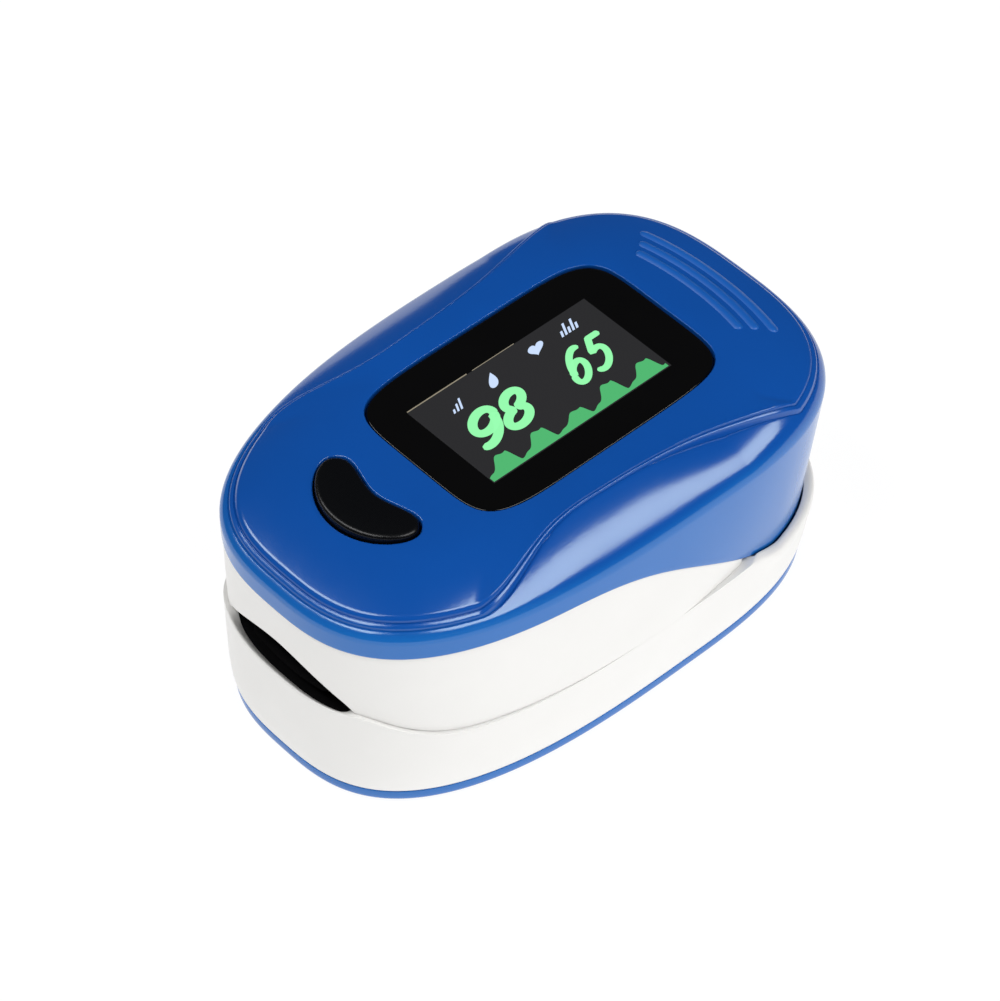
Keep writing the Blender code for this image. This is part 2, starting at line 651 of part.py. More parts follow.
def battery_frame(material):
    """The cell frame: two bays open below, the floor of the lower pad, a finger stop and two hinge lugs."""
    half = [(FRAME_FRONT_HALF_WIDTH, FRAME_FRONT_Y), (FRAME_HALF_WIDTH, FRAME_CORNER_Y), *FRAME_REAR_CORNER]
    frame = add_part(prism(mirrored(half), TRAY_BOTTOM_Z, FRAME_SHOULDER_Z, "battery_frame"), material)
    wide, base_z = FRAME_TOP_HALF_WIDTH, FRAME_SHOULDER_Z - 0.2
    nose = [(8.0, FRAME_FRONT_Y), (10.0, FRAME_FRONT_Y + 1.9), (wide, FRAME_FRONT_Y + 6.0)]
    added = [
        prism(mirrored(nose + [(wide, STOP_REAR_Y)]), base_z, FRAME_TOP_Z),
        box((-wide + 1.0, STOP_REAR_Y - 0.5, base_z), (wide - 1.0, FRAME_REAR_Y - 1.0, DECK_Z)),
        box((-STOP_HALF_WIDTH, STOP_FRONT_Y, DECK_Z), (STOP_HALF_WIDTH, STOP_REAR_Y, STOP_TOP_Z)),
        box((-7.5, -28.2, 9.4), (7.5, FRAME_FRONT_Y + 1.0, 11.0)),
    ]
    for side in (-1, 1):
        lug_x = sorted((side * LOWER_LUG_X[0], side * LOWER_LUG_X[1]))
        lug_low = (lug_x[0], HINGE_Y - LUG_RADIUS, FRAME_SHOULDER_Z - 1.0)
        added.append(box(lug_low, (lug_x[1], HINGE_Y + LUG_RADIUS, HINGE_Z + LUG_RADIUS)))
        ear_x = sorted((side * (FRAME_HALF_WIDTH - 0.5), side * 16.65))
        added += [box((ear_x[0], y - 1.7, EAR_BOTTOM_Z), (ear_x[1], y + 1.7, EAR_TOP_Z)) for y in EAR_YS]
    combine(frame, "UNION", added)
    across = np.linspace(-FRAME_TOP_HALF_WIDTH - 2.0, FRAME_TOP_HALF_WIDTH + 2.0, 24)
    floor = np.minimum(channel_floor(across) - PAD_THICKNESS - GAP / 2, FRAME_TOP_Z - 0.05)
    finger = list(zip(across, floor)) + [(across[-1], 20.0), (across[0], 20.0)]
    removed = [prism(finger, -35.0, STOP_FRONT_Y, facing="Y")]
    for x in (-CELL_X, CELL_X):
        removed.append(rod((x, BAY_FRONT_Y, CELL_Z), (x, BAY_REAR_Y, CELL_Z), BAY_RADIUS, segments=28))
        side = BAY_RADIUS - 0.05
        removed.append(box((x - side, BAY_FRONT_Y + 0.05, 0.0), (x + side, BAY_REAR_Y - 0.05, CELL_Z + 0.4)))
        removed.append(box((x - 2.7, BAY_FRONT_Y - 2.9, 0.0), (x + 2.7, BAY_FRONT_Y + 0.5, 9.8)))
    notch = RAIL_HALF_WIDTH + GAP
    hole = PIN_RADIUS + GAP
    removed += [
        box((-9.8, BAY_FRONT_Y - 2.9, 3.2), (9.8, BAY_FRONT_Y - 2.0, 9.75)),
        box((-notch, -22.0, 0.0), (notch, 30.0, RAIL_TOP_Z + GAP)),
        rod((-17.0, HINGE_Y, HINGE_Z), (17.0, HINGE_Y, HINGE_Z), hole),
        box((-3.2, 12.9, 11.4), (3.2, 22.6, 14.0)),
        box((-1.6, SENSOR_Y + 3.0, 10.0), (1.6, 13.2, 12.6)),
        box((-1.5, STOP_REAR_Y + 0.1, 10.1), (1.5, 13.3, 14.0)),
        box((-2.3, SENSOR_Y - 4.0, 9.6), (2.3, SENSOR_Y + 4.0, 13.0)),
    ]
    removed += upright_rods(EAR_X, EAR_YS, EAR_BOTTOM_Z - 0.5, EAR_TOP_Z + 0.5, SCREW_RADIUS + GAP)
    combine(frame, "DIFFERENCE", removed)


def finger_pads(rubber, jaw):
    """The two soft pads of the finger channel, each with a round hole for the light."""
    lower_rows = np.concatenate([np.linspace(LOWER_PAD_FRONT_Y, -22.0, 6), np.linspace(-15.0, 10.2, 3)])
    upper_rows = np.concatenate([np.linspace(UPPER_PAD_FRONT_Y, -19.0, 6), np.linspace(-13.0, 9.8, 3)])
    lower = sheet_solid(
        "lower_finger_pad",
        lower_rows,
        lambda y: pad_half_width(y, LOWER_PAD_FRONT_Y, CHANNEL_HALF_WIDTH),
        channel_floor,
        lambda x: channel_floor(x) - PAD_THICKNESS,
        13,
    )
    upper = sheet_solid(
        "upper_finger_pad",
        upper_rows,
        lambda y: pad_half_width(y, UPPER_PAD_FRONT_Y, FRAME_TOP_HALF_WIDTH),
        lambda x: np.full_like(x, ROOF_Z - GAP),
        channel_roof,
        17,
    )
    for mesh, parent in ((lower, None), (upper, jaw)):
        pad = add_part(mesh, rubber, parent)
        combine(pad, "DIFFERENCE", [rod((0, SENSOR_Y, 8.0), (0, SENSOR_Y, 22.0), SENSOR_HOLE_RADIUS)])


def light_path(lens, black, board, copper, jaw):
    """The light source above the finger and the sensor below it, with lenses, board and flexible leads."""
    radius = SENSOR_HOLE_RADIUS - GAP
    add_part(rod((0, SENSOR_Y, 17.5), (0, SENSOR_Y, 17.95), radius, "light_window"), lens, jaw)
    add_part(box((-1.4, SENSOR_Y - 1.4, 18.2), (1.4, SENSOR_Y + 1.4, 18.75), "light_emitter"), black, jaw)
    lead_y = SENSOR_Y + 2.9
    lead_top = BOARD_BOTTOM_Z - GAP
    add_part(box((-1.0, lead_y, ROOF_Z - 0.2), (1.0, lead_y + 0.3, lead_top), "emitter_flex"), copper, jaw)
    add_part(rod((0, SENSOR_Y, 11.5), (0, SENSOR_Y, 12.05), radius - 0.1, "sensor_window"), lens)
    add_part(box((-1.4, SENSOR_Y - 1.4, 10.7), (1.4, SENSOR_Y + 1.4, 11.2), "photodiode"), black)
    add_part(box((-2.0, SENSOR_Y - 3.7, 9.9), (2.0, SENSOR_Y + 2.6, 10.4), "sensor_board"), board)
    low, bend, half = 10.3, FLEX_Y - 0.15, 0.25
    lead = [(SENSOR_Y + 2.9, low), (bend, low), (bend + half, low + half), (bend + half, FLEX_SPLIT_Z - GAP)]
    lead += [(bend, FLEX_SPLIT_Z - GAP), (bend, low + half), (SENSOR_Y + 2.9, low + half)]
    add_part(prism(lead, -1.2, 1.2, "sensor_flex", facing="X"), copper)
    jaw_lead = box((-1.2, bend, FLEX_SPLIT_Z), (1.2, bend + half, lead_top), "jaw_flex")
    add_part(jaw_lead, copper, jaw)


def cells_and_contacts(jacket, spring_steel):
    """Two AAA cells head to tail, a bridging contact with two springs in front and two contacts behind."""
    profile = [
        (0.0, CELL_LENGTH), (1.8, CELL_LENGTH), (1.8, CELL_LENGTH - 0.9), (4.6, CELL_LENGTH - 1.1),
        (CELL_RADIUS, CELL_LENGTH - 1.7), (CELL_RADIUS, 0.6), (4.7, 0.0), (0.0, 0.0),
    ]  # fmt: skip
    quarter = math.pi / 2
    turned("cell_left", profile, jacket, (-CELL_X, CELL_FRONT_Y, CELL_Z), (-quarter, 0, 0))
    turned("cell_right", profile, jacket, (CELL_X, CELL_FRONT_Y + CELL_LENGTH, CELL_Z), (quarter, 0, 0))
    front_y = BAY_FRONT_Y - 2.7
    add_part(box((-9.6, front_y, 3.6), (9.6, front_y + 0.4, 9.6), "front_contact"), spring_steel)
    for name, x in (("left", -CELL_X), ("right", CELL_X)):
        add_part(box((x - 3.4, 23.85, 3.6), (x + 3.4, 24.25, 9.6), f"rear_contact_{name}"), spring_steel)
        turns, steps = 2, 10
        angle = np.linspace(0.0, turns * 2 * math.pi, turns * steps + 1)
        along = angle / angle[-1]
        radius = 2.2 - 0.9 * along
        y = front_y + 0.9 + 1.75 * along
        coil = np.stack([x + radius * np.cos(angle), y, CELL_Z + radius * np.sin(angle)], axis=1)
        wire(f"contact_spring_{name}", coil, 0.2, spring_steel)


def hinge(steel, spring_steel):
    """The pin and the torsion spring round it, whose two arms push the tail ends of the jaws apart."""
    pin_end = np.array((PIN_HALF_LENGTH, HINGE_Y, HINGE_Z))
    add_part(rod(pin_end * (-1, 1, 1), pin_end, PIN_RADIUS, "hinge_pin"), steel)
    turns = SPRING_TURNS + 0.5
    angle = np.linspace(0.0, turns * 2 * math.pi, int(turns * SPRING_STEPS) + 1)
    x = (angle / (2 * math.pi) - turns / 2) * SPRING_PITCH
    coil_y = HINGE_Y + SPRING_RADIUS * np.sin(angle)
    coil_z = HINGE_Z - SPRING_RADIUS * np.cos(angle)
    coil = np.stack([x, coil_y, coil_z], axis=1)
    lower_arm = [(x[0] - 0.02, 22.0, 12.2), (x[0] - 0.01, 19.0, 12.4)]
    upper_arm = [(x[-1] + 0.01, 19.0, 16.2), (x[-1] + 0.02, 23.2, 16.2)]
    points = np.concatenate([lower_arm, coil, upper_arm])
    wire("torsion_spring", points, SPRING_WIRE_RADIUS, spring_steel)
    least = turn_gap(coil, SPRING_STEPS, SPRING_WIRE_RADIUS)
    print(f"torsion_spring: least gap between turns {least:.2f} mm")


def display(glass, black, jaw):
    """The black window in the cover, the display panel below it and the tray that holds the panel."""
    add_part(prism(window_outline(0.0), WINDOW_BOTTOM_Z, WINDOW_TOP_Z, "display_window"), glass, jaw)
    add_part(box((-7.8, -10.6, 23.9), (7.8, 16.6, 25.4), "display_panel"), glass, jaw)
    holder = add_part(box((-8.8, -11.6, 22.7), (8.8, 17.6, 24.9), "display_holder"), black, jaw)
    combine(holder, "DIFFERENCE", [box((-8.1, -10.9, 23.6), (8.1, 16.9, 26.0))])


def power_button(black, jaw, button_axis):
    """The bean-shaped button, with a flange under the cover and a post above the switch."""
    top = button_outline(0.0)
    flange = button_outline(0.9)
    levels = ((flange, 24.5), (flange, 25.3), (top, 25.3), (top, 27.75), (button_outline(-0.4), BUTTON_TOP_Z))
    rings = [at_height(outline, height) for outline, height in levels]
    button = add_part(stack(rings, "power_button"), black, button_axis)
    combine(button, "UNION", [rod((0, SWITCH_Y, 24.2), (0, SWITCH_Y, 25.0), 1.2)])
    half = 2.6
    base_z = BOARD_TOP_Z + GAP
    switch = box((-half, SWITCH_Y - half, base_z), (half, SWITCH_Y + half, base_z + 0.8), "tact_switch")
    body = add_part(switch, black, jaw)
    combine(body, "DIFFERENCE", [rod((0, SWITCH_Y, 22.0), (0, SWITCH_Y, 24.5), 1.0 + GAP)])


def switch_plunger(steel, plunger_axis):
    """The little post that the button pushes into the switch."""
    add_part(rod((0, SWITCH_Y, 22.95), (0, SWITCH_Y, 23.9), 1.0, "switch_plunger"), steel, plunger_axis)


def main_board(board, black, steel, jaw):
    """The circuit board and what stands on its upper and lower face."""
    half = [
        (BOARD_HALF_WIDTH - 3.0, BOARD_FRONT_Y),
        (BOARD_HALF_WIDTH, BOARD_FRONT_Y + 3.0),
        (BOARD_HALF_WIDTH, BOARD_REAR_Y - 2.0),
        (BOARD_HALF_WIDTH - 2.0, BOARD_REAR_Y),
    ]
    add_part(prism(mirrored(half), BOARD_BOTTOM_Z, BOARD_TOP_Z, "main_board"), board, jaw)
    above, below = BOARD_TOP_Z + GAP, BOARD_BOTTOM_Z - GAP
    add_part(box((4.6, -19.0, above), (9.6, -14.0, above + 0.9), "processor_chip"), black, jaw)
    add_part(box((-9.4, -18.6, above), (-5.4, -14.6, above + 0.8), "display_driver_chip"), black, jaw)
    add_part(box((-8.5, -6.0, below - 0.75), (-4.0, -1.5, below), "sensor_amplifier_chip"), black, jaw)
    add_part(box((4.4, -5.0, below - 0.75), (9.0, -3.0, below), "clock_crystal"), steel, jaw)
    add_part(box((-3.0, 14.0, below - 0.7), (3.0, 15.6, below), "sensor_connector"), black, jaw)
    add_part(rod((6.5, 10.0, below - 0.75), (6.5, 10.0, below), 2.6, "beeper"), black, jaw)


def screw(name, x, y, head_z, length, steel, parent=None):
    """A pan-head screw that points up from under its head."""
    head = 0.7
    profile = [
        (0.0, length), (SCREW_RADIUS * 0.7, length), (SCREW_RADIUS, length - 0.5), (SCREW_RADIUS, head),
        (SCREW_HEAD_RADIUS, head), (SCREW_HEAD_RADIUS, 0.2), (SCREW_HEAD_RADIUS - 0.3, 0.0), (0.0, 0.0),
    ]  # fmt: skip
    turned(name, profile, steel, (x, y, head_z), parent=parent)


def screws(steel, jaw):
    """Four screws that pull the cover onto the roof and four that hold the cell frame in the tray."""
    number = 0
    for x in (-1, 1):
        for which in (0, 1):
            number += 1
            screw(f"cover_screw_{number}", x * BOSS_X, BOSS_YS[which], 18.0, 6.5, steel, jaw)
            screw(f"frame_screw_{number}", x * EAR_X, EAR_YS[which], 1.7, 6.2, steel)


def main():
    clear_scene()
    blue = make_material("glossy_blue_plastic", (0.012, 0.09, 0.38), 0.2)
    white = make_material("white_plastic", (0.86, 0.85, 0.83), 0.35)
    rubber = make_material("black_rubber", (0.015, 0.015, 0.016), 0.7)
    black = make_material("black_plastic", (0.01, 0.01, 0.011), 0.4)
    glass = make_material("black_glass", (0.006, 0.006, 0.007), 0.08)
    lens = make_material("clear_lens", (0.6, 0.15, 0.12), 0.1)
    board = make_material("green_board", (0.02, 0.16, 0.07), 0.45)
    copper = make_material("amber_flex", (0.55, 0.28, 0.05), 0.4)
    steel = make_material("steel", (0.6, 0.6, 0.62), 0.3, 1.0)
    spring_steel = make_material("spring_steel", (0.7, 0.7, 0.7), 0.25, 1.0)
    jacket = make_material("cell_jacket", (0.5, 0.5, 0.52), 0.35, 0.6)

    jaw = axis_empty("jaw_hinge_axis", (0.0, HINGE_Y, HINGE_Z))
    button_axis = axis_empty("button_axis", (0.0, BUTTON_MIDDLE_Y, BUTTON_TOP_Z))
    plunger_axis = axis_empty("plunger_axis", (0.0, SWITCH_Y, BOARD_TOP_Z))
    door_axis = axis_empty("door_axis", (0.0, 0.0, 0.0))

    top_cover(blue, jaw)
    upper_housing(white, jaw)
    lower_housing(white)
    battery_door(blue, door_axis)
    battery_frame(white)
    finger_pads(rubber, jaw)
    light_path(lens, black, board, copper, jaw)
    cells_and_contacts(jacket, spring_steel)
    hinge(steel, spring_steel)
    display(glass, black, jaw)
    power_button(black, jaw, button_axis)
    switch_plunger(steel, plunger_axis)
    main_board(board, black, steel, jaw)
    screws(steel, jaw)


main()
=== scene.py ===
"""Fingertip pulse oximeter: the looks of its pieces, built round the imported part.

Shapes are worked out in millimetres in the part's own frame, +Z up and -Y towards the finger mouth, and go into
their meshes in metres.
"""

import math

import bpy
import numpy as np
from mathutils import Matrix, Vector
from mathutils.geometry import delaunay_2d_cdt


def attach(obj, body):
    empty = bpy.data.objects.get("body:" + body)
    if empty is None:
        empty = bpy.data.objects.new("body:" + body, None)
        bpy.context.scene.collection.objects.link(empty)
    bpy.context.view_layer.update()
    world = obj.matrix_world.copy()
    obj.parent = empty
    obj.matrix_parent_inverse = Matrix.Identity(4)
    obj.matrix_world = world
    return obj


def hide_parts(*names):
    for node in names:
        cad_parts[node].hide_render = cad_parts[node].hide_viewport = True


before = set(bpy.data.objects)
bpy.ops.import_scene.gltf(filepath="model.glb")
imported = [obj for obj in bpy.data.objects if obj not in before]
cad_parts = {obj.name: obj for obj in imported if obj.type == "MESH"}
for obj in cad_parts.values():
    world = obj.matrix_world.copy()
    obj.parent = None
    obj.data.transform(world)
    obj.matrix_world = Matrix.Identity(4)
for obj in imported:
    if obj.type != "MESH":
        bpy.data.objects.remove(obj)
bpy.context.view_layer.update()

MM = 0.001
GAP = 0.3

# Body outline, seam and cover, as the part has them
BODY_POINTS = 360
WIDEST_Y = 6.5
RIM_Z = 23.2
PANEL_Z = 27.7
CEILING_Z = 25.7
COVER_WALL = 1.3
PANEL_INSET = 1.55
WAIST_DEPTH = 4.5
PANEL_MIDDLE = np.array((0.0, 1.5))
PANEL_LEVEL = 0.6
PANEL_LIP = 0.988
PANEL_FILL = 0.88
SLOPE_REACH = 7.5
ROOF_Z = 19.0
ROOF_TOP_Z = 20.2
BAND_INSET = 0.12
BAND_END_Y = 14.2
SEAM_GAP = 0.03
TRAY_WALL = 1.1
TAIL_EDGE_Z = 8.2
TAIL_GAP = 0.16
LIP_CHAMFER = 1.2
CUP_INSET = 1.6
CUP_WALL = 1.1
CUP_EDGE_Z = 16.0
MOUTH_HALF_WIDTH = 9.3
MOUTH_ARCH = 3.7
MOUTH_DIP = 0.5
HINGE = (16.0, 14.4)
SENSOR_Y = -8.0
FLEX_Y = 12.5
SCREW_HOLE = 1.05
BOSS_X, BOSS_YS = 13.9, (-12.0, 10.0)
EAR_X, EAR_YS = 15.2, (-8.0, 8.5)

# Display window and what it shows
WINDOW_TOP_Z = 27.5
SCREEN_LOW = np.array((-5.85, -8.5))
SCREEN_HIGH = np.array((6.4, 14.4))
SCREEN_Z = WINDOW_TOP_Z + 0.012
SIGN_Z = SCREEN_Z + 0.014
NUMBER_LEAN = 0.5

# Camera and light
CAMERA_AZIMUTH = math.radians(47.68)
CAMERA_ELEVATION = math.radians(47.35)
CAMERA_TARGET = np.array((8.45, -9.65, 27.6))
CAMERA_DISTANCE = 380.0
CAMERA_LENS = 147.3


class Socket:
    """One output socket of a node tree. Sums, products and powers of values add Math nodes to the tree."""

    def __init__(self, tree, socket=None):
        self.tree = tree
        self.socket = socket

    def add(self, kind, settings=None, inputs=None, out=0):
        """Adds a node of a type, makes its settings, then fills its sockets with values or links."""
        node = self.tree.nodes.new(kind)
        for name, value in (settings or {}).items():
            if name == "stops":
                ramp = node.color_ramp
                while len(ramp.elements) < len(value):
                    ramp.elements.new(1.0)
                for element, (place, colour) in zip(ramp.elements, value):
                    element.position = place
                    element.color = (*colour, 1.0)
            else:
                setattr(node, name, value)
        for key, value in (inputs or {}).items():
            if isinstance(value, Socket):
                self.tree.links.new(value.socket, node.inputs[key])
            else:
                node.inputs[key].default_value = value
        return Socket(self.tree, node.outputs[out] if len(node.outputs) else None)

    def math(self, operation, *values):
        return self.add("ShaderNodeMath", {"operation": operation}, dict(enumerate(values)))

    def __add__(self, other):
        return self.math("ADD", self, other)

    def __sub__(self, other):
        return self.math("SUBTRACT", self, other)

    def __rsub__(self, other):
        return self.math("SUBTRACT", other, self)

    def __mul__(self, other):
        return self.math("MULTIPLY", self, other)

    def __truediv__(self, other):
        return self.math("DIVIDE", self, other)

    def __pow__(self, other):
        return self.math("POWER", self, other)

    __radd__ = __add__
    __rmul__ = __mul__


def new_finish(name):
    """An empty material and the socket its nodes grow from."""
    material = bpy.data.materials.new(name)
    material.use_nodes = True
    material.node_tree.nodes.clear()
    return material, Socket(material.node_tree)


def here(start):
    """Object coordinates, in metres in the part's own frame."""
    return start.add("ShaderNodeTexCoord", out="Object")


def cloud(start, size, detail=2.0, stretch=None):
    """Noise from 0 to 1 whose lumps are about one size in millimetres, pulled along an axis by stretch."""
    place = here(start)
    if stretch:
        place = start.add("ShaderNodeMapping", inputs={"Vector": place, "Scale": stretch})
    inputs = {"Vector": place, "Scale": 1.0 / (size * MM), "Detail": detail, "Roughness": 0.55}
    return start.add("ShaderNodeTexNoise", inputs=inputs, out="Fac")


def blend(start, factor, first, second):
    """A colour between two colours."""
    values = {0: factor, 6: first, 7: second}
    return start.add("ShaderNodeMix", {"data_type": "RGBA"}, values, out=2)


def bump(start, height, depth):
    """A normal from a height between 0 and 1 that stands for a depth in millimetres."""
    inputs = {"Strength": 1.0, "Distance": depth * MM, "Height": height}
    return start.add("ShaderNodeBump", inputs=inputs)


def close_finish(start, sockets):
    """Ends a material with a Principled shader."""
    shader = start.add("ShaderNodeBsdfPrincipled", inputs=sockets)
    start.add("ShaderNodeOutputMaterial", inputs={"Surface": shader})


def rgb(red, green, blue):
    return (red, green, blue, 1.0)


def moulded(name, dark, light, roughness, peel, sheen_spread=0.05):
    """Moulded plastic: two near shades in soft clouds, uneven gloss and the fine peel of its mould."""
    material, start = new_finish(name)
    tone = cloud(start, 9.0, 3.0)
    gloss = cloud(start, 3.5, 2.0)
    skin = cloud(start, 0.55, 2.0) + cloud(start, 0.12, 1.0) * 0.35
    close_finish(start, {
        "Base Color": blend(start, tone, rgb(*dark), rgb(*light)),
        "Roughness": roughness - sheen_spread / 2 + gloss * sheen_spread,
        "Normal": bump(start, skin, peel),
        "IOR": 1.5,
    })
    return material


def glossy_blue(name):
    """Blue moulded plastic: deep on top and painted paler down the skirt, a painted light that stands for the
    stronger light falling on the skirt's sides, with soft clouds in its tone, uneven gloss and the fine peel of its
    mould.
    """
    material, start = new_finish(name)
    height = start.add("ShaderNodeSeparateXYZ", inputs={"Vector": here(start)}, out="Z")
    # Painted light: below the shoulder the blue fades to a paler copy of itself, painted for the side and floor
    # light on the skirt.
    fall = {"Value": height, "From Min": 24.9 * MM, "From Max": 23.7 * MM}
    painted_skirt_light = start.add("ShaderNodeMapRange", {"interpolation_type": "SMOOTHSTEP"}, fall)
    deep = blend(start, cloud(start, 9.0, 3.0), rgb(0.0034, 0.071, 0.345), rgb(0.0042, 0.08, 0.385))
    pale = blend(start, cloud(start, 7.0, 3.0), rgb(0.0075, 0.12, 0.43), rgb(0.009, 0.132, 0.46))
    skin = cloud(start, 0.55, 2.0) + cloud(start, 0.12, 1.0) * 0.35
    close_finish(start, {
        "Base Color": blend(start, painted_skirt_light, deep, pale),
        "Roughness": 0.125 + cloud(start, 3.5, 2.0) * 0.05,
        "Normal": bump(start, skin, 0.004),
        "IOR": 1.6,
        "Specular Tint": rgb(0.85, 1.0, 1.0),
    })
    return material


def grained_black(name, dark, light, roughness, grain, depth, specular=0.5):
    """Black rubber or eroded plastic: a close grain in its normal and flecks in its tone."""
    material, start = new_finish(name)
    flecks = cloud(start, grain * 1.7, 3.0)
    pits = cloud(start, grain, 2.0)
    close_finish(start, {
        "Base Color": blend(start, flecks, rgb(*dark), rgb(*light)),
        "Roughness": roughness + (pits - 0.5) * 0.12,
        "Normal": bump(start, pits, depth),
        "Specular IOR Level": specular,
    })
    return material


def polished_window(name):
    """Black polished window: almost no tone, a clear coat and faint wiping marks in its gloss."""
    material, start = new_finish(name)
    wipe = cloud(start, 1.6, 3.0, (1.0, 0.25, 1.0))
    tone = cloud(start, 6.0)
    close_finish(start, {
        "Base Color": blend(start, tone, rgb(0.0011, 0.0011, 0.0013), rgb(0.0018, 0.0018, 0.002)),
        "Roughness": 0.05 + wipe * 0.05,
        "IOR": 1.5,
    })
    return material


def lit_screen(name, low, high, strength, mesh_size=0.17):
    """A lit display area: a faint dot grid of pixels in its glow, under a smooth surface."""
    material, start = new_finish(name)
    place = start.add("ShaderNodeSeparateXYZ", inputs={"Vector": here(start)}, out="X")
    along = Socket(start.tree, place.socket.node.outputs["Y"])
    turn = 2.0 * math.pi / (mesh_size * MM)
    dots = (start.math("SINE", place * turn) * start.math("SINE", along * turn)) * 0.5 + 0.5
    glow = blend(start, dots, rgb(*low), rgb(*high))
    close_finish(start, {
        "Base Color": rgb(0.002, 0.002, 0.002),
        "Roughness": 0.08 + cloud(start, 1.6, 3.0) * 0.05,
        "Emission Color": glow,
        "Emission Strength": strength,
    })
    return material


def brushed_steel(name, dark, light, roughness):
    """Bright metal with drawn lines along the part's length."""
    material, start = new_finish(name)
    lines = cloud(start, 0.5, 3.0, (1.0, 0.06, 1.0))
    spots = cloud(start, 2.0)
    close_finish(start, {
        "Base Color": blend(start, spots, rgb(*dark), rgb(*light)),
        "Metallic": 1.0,
        "Roughness": roughness + lines * 0.15,
        "Normal": bump(start, lines, 0.006),
    })
    return material


def green_board(name):
    """Circuit board: green mask over darker copper runs, with tinned pads in a sparse grid."""
    material, start = new_finish(name)
    runs = {"Vector": here(start), "Scale": 420.0, "Mortar Size": 0.012, "Brick Width": 0.9, "Row Height": 0.32}
    runs.update({"Color1": rgb(0, 0, 0), "Color2": rgb(0, 0, 0), "Mortar": rgb(1, 1, 1)})
    track = start.add("ShaderNodeTexBrick", {"offset": 0.37}, runs, out="Fac")
    cells = {"Vector": here(start), "Scale": 380.0, "Randomness": 0.35}
    near = start.add("ShaderNodeTexVoronoi", {"distance": "CHEBYCHEV"}, cells, out="Distance")
    pad = start.math("LESS_THAN", near, 0.13)
    mask = blend(start, cloud(start, 3.0), rgb(0.012, 0.11, 0.045), rgb(0.016, 0.15, 0.06))
    routed = blend(start, track, mask, rgb(0.006, 0.06, 0.028))
    close_finish(start, {
        "Base Color": blend(start, pad, routed, rgb(0.62, 0.6, 0.55)),
        "Metallic": pad * 0.9,
        "Roughness": 0.42 - pad * 0.15,
        "Normal": bump(start, pad * 0.5 + track * 0.3, 0.03),
    })
    return material


def amber_film(name):
    """Flexible lead: amber film over lengthwise copper runs."""
    material, start = new_finish(name)
    across = start.add("ShaderNodeSeparateXYZ", inputs={"Vector": here(start)}, out="X")
    runs = start.math("GREATER_THAN", start.math("SINE", across * (2 * math.pi / (0.4 * MM))), 0.0)
    film = blend(start, cloud(start, 1.5), rgb(0.38, 0.17, 0.025), rgb(0.48, 0.23, 0.04))
    close_finish(start, {
        "Base Color": blend(start, runs, film, rgb(0.55, 0.3, 0.1)),
        "Metallic": runs * 0.35,
        "Roughness": 0.38 + cloud(start, 0.6) * 0.1,
        "Normal": bump(start, runs, 0.02),
    })
    return material


def cell_wrap(name):
    """Cell jacket: a plain wrap with a warm band at one end, between bare metal ends."""
    material, start = new_finish(name)
    along = start.add("ShaderNodeSeparateXYZ", inputs={"Vector": here(start)}, out="Y")
    bare = start.math("GREATER_THAN", start.math("ABSOLUTE", along - 1.25 * MM), 21.4 * MM)
    band = start.math("LESS_THAN", along, -9.0 * MM)
    wrap = blend(start, band, rgb(0.03, 0.033, 0.038), rgb(0.42, 0.2, 0.045))
    worn = blend(start, cloud(start, 2.5, 4.0) * 0.25, wrap, rgb(0.3, 0.3, 0.3))
    close_finish(start, {
        "Base Color": blend(start, bare, worn, rgb(0.66, 0.66, 0.67)),
        "Metallic": 0.35 + bare * 0.65,
        "Roughness": 0.32 + cloud(start, 0.8, 2.0) * 0.1,
    })
    return material


def red_lens(name):
    """Clear lens with a red tint and small flow marks."""
    material, start = new_finish(name)
    tint = blend(start, cloud(start, 1.2), rgb(0.55, 0.09, 0.07), rgb(0.68, 0.13, 0.1))
    close_finish(start, {
        "Base Color": tint,
        "Roughness": 0.08 + cloud(start, 0.7) * 0.08,
        "Transmission Weight": 0.7,
        "IOR": 1.49,
    })
    return material


def smooth(t):
    """The cubic ease from 0 to 1."""
    t = np.clip(t, 0.0, 1.0)
    return t * t * (3.0 - 2.0 * t)


def even_steps(x, y, count):
    """A closed curve read again at steps of equal length."""
    length = np.concatenate([[0.0], np.cumsum(np.hypot(np.diff(x), np.diff(y)))])
    even = np.linspace(0.0, length[-1], count, endpoint=False)
    return np.stack([np.interp(even, length, x), np.interp(even, length, y)], axis=1)


def superellipse(half_width, middle, front, rear, powers, count):
    """Two superellipse halves that meet at a middle: |x/a|^p + |y/b|^p = 1 in front and behind."""
    angle = np.linspace(-math.pi / 2, 1.5 * math.pi, 8001)
    cosine, sine = np.cos(angle), np.sin(angle)
    power = np.where(sine < 0, powers[0], powers[1])
    reach = np.where(sine < 0, middle - front, rear - middle)
    x = half_width * np.sign(cosine) * np.abs(cosine) ** (2 / power)
    y = middle + reach * np.sign(sine) * np.abs(sine) ** (2 / power)
    return even_steps(x, y, count)


def body_outline(front, rear, half_width):
    """The lower jaw's plan outline at one level."""
    return superellipse(half_width, WIDEST_Y, front, rear, (2.85, 3.0), BODY_POINTS)


def rim_outline():
    """The upper jaw's plan outline at its rim, fuller towards the rear than the lower jaw's."""
    return superellipse(19.75, 8.5, -30.5, 31.3, (2.8, 2.9), BODY_POINTS)


def window_outline(grow, count=160):
    """The display window's rounded rectangle, a superellipse of power 6, grown or shrunk."""
    return superellipse(10.05 + grow, 3.3, -12.25 - grow, 18.85 + grow, (6.0, 6.0), count)


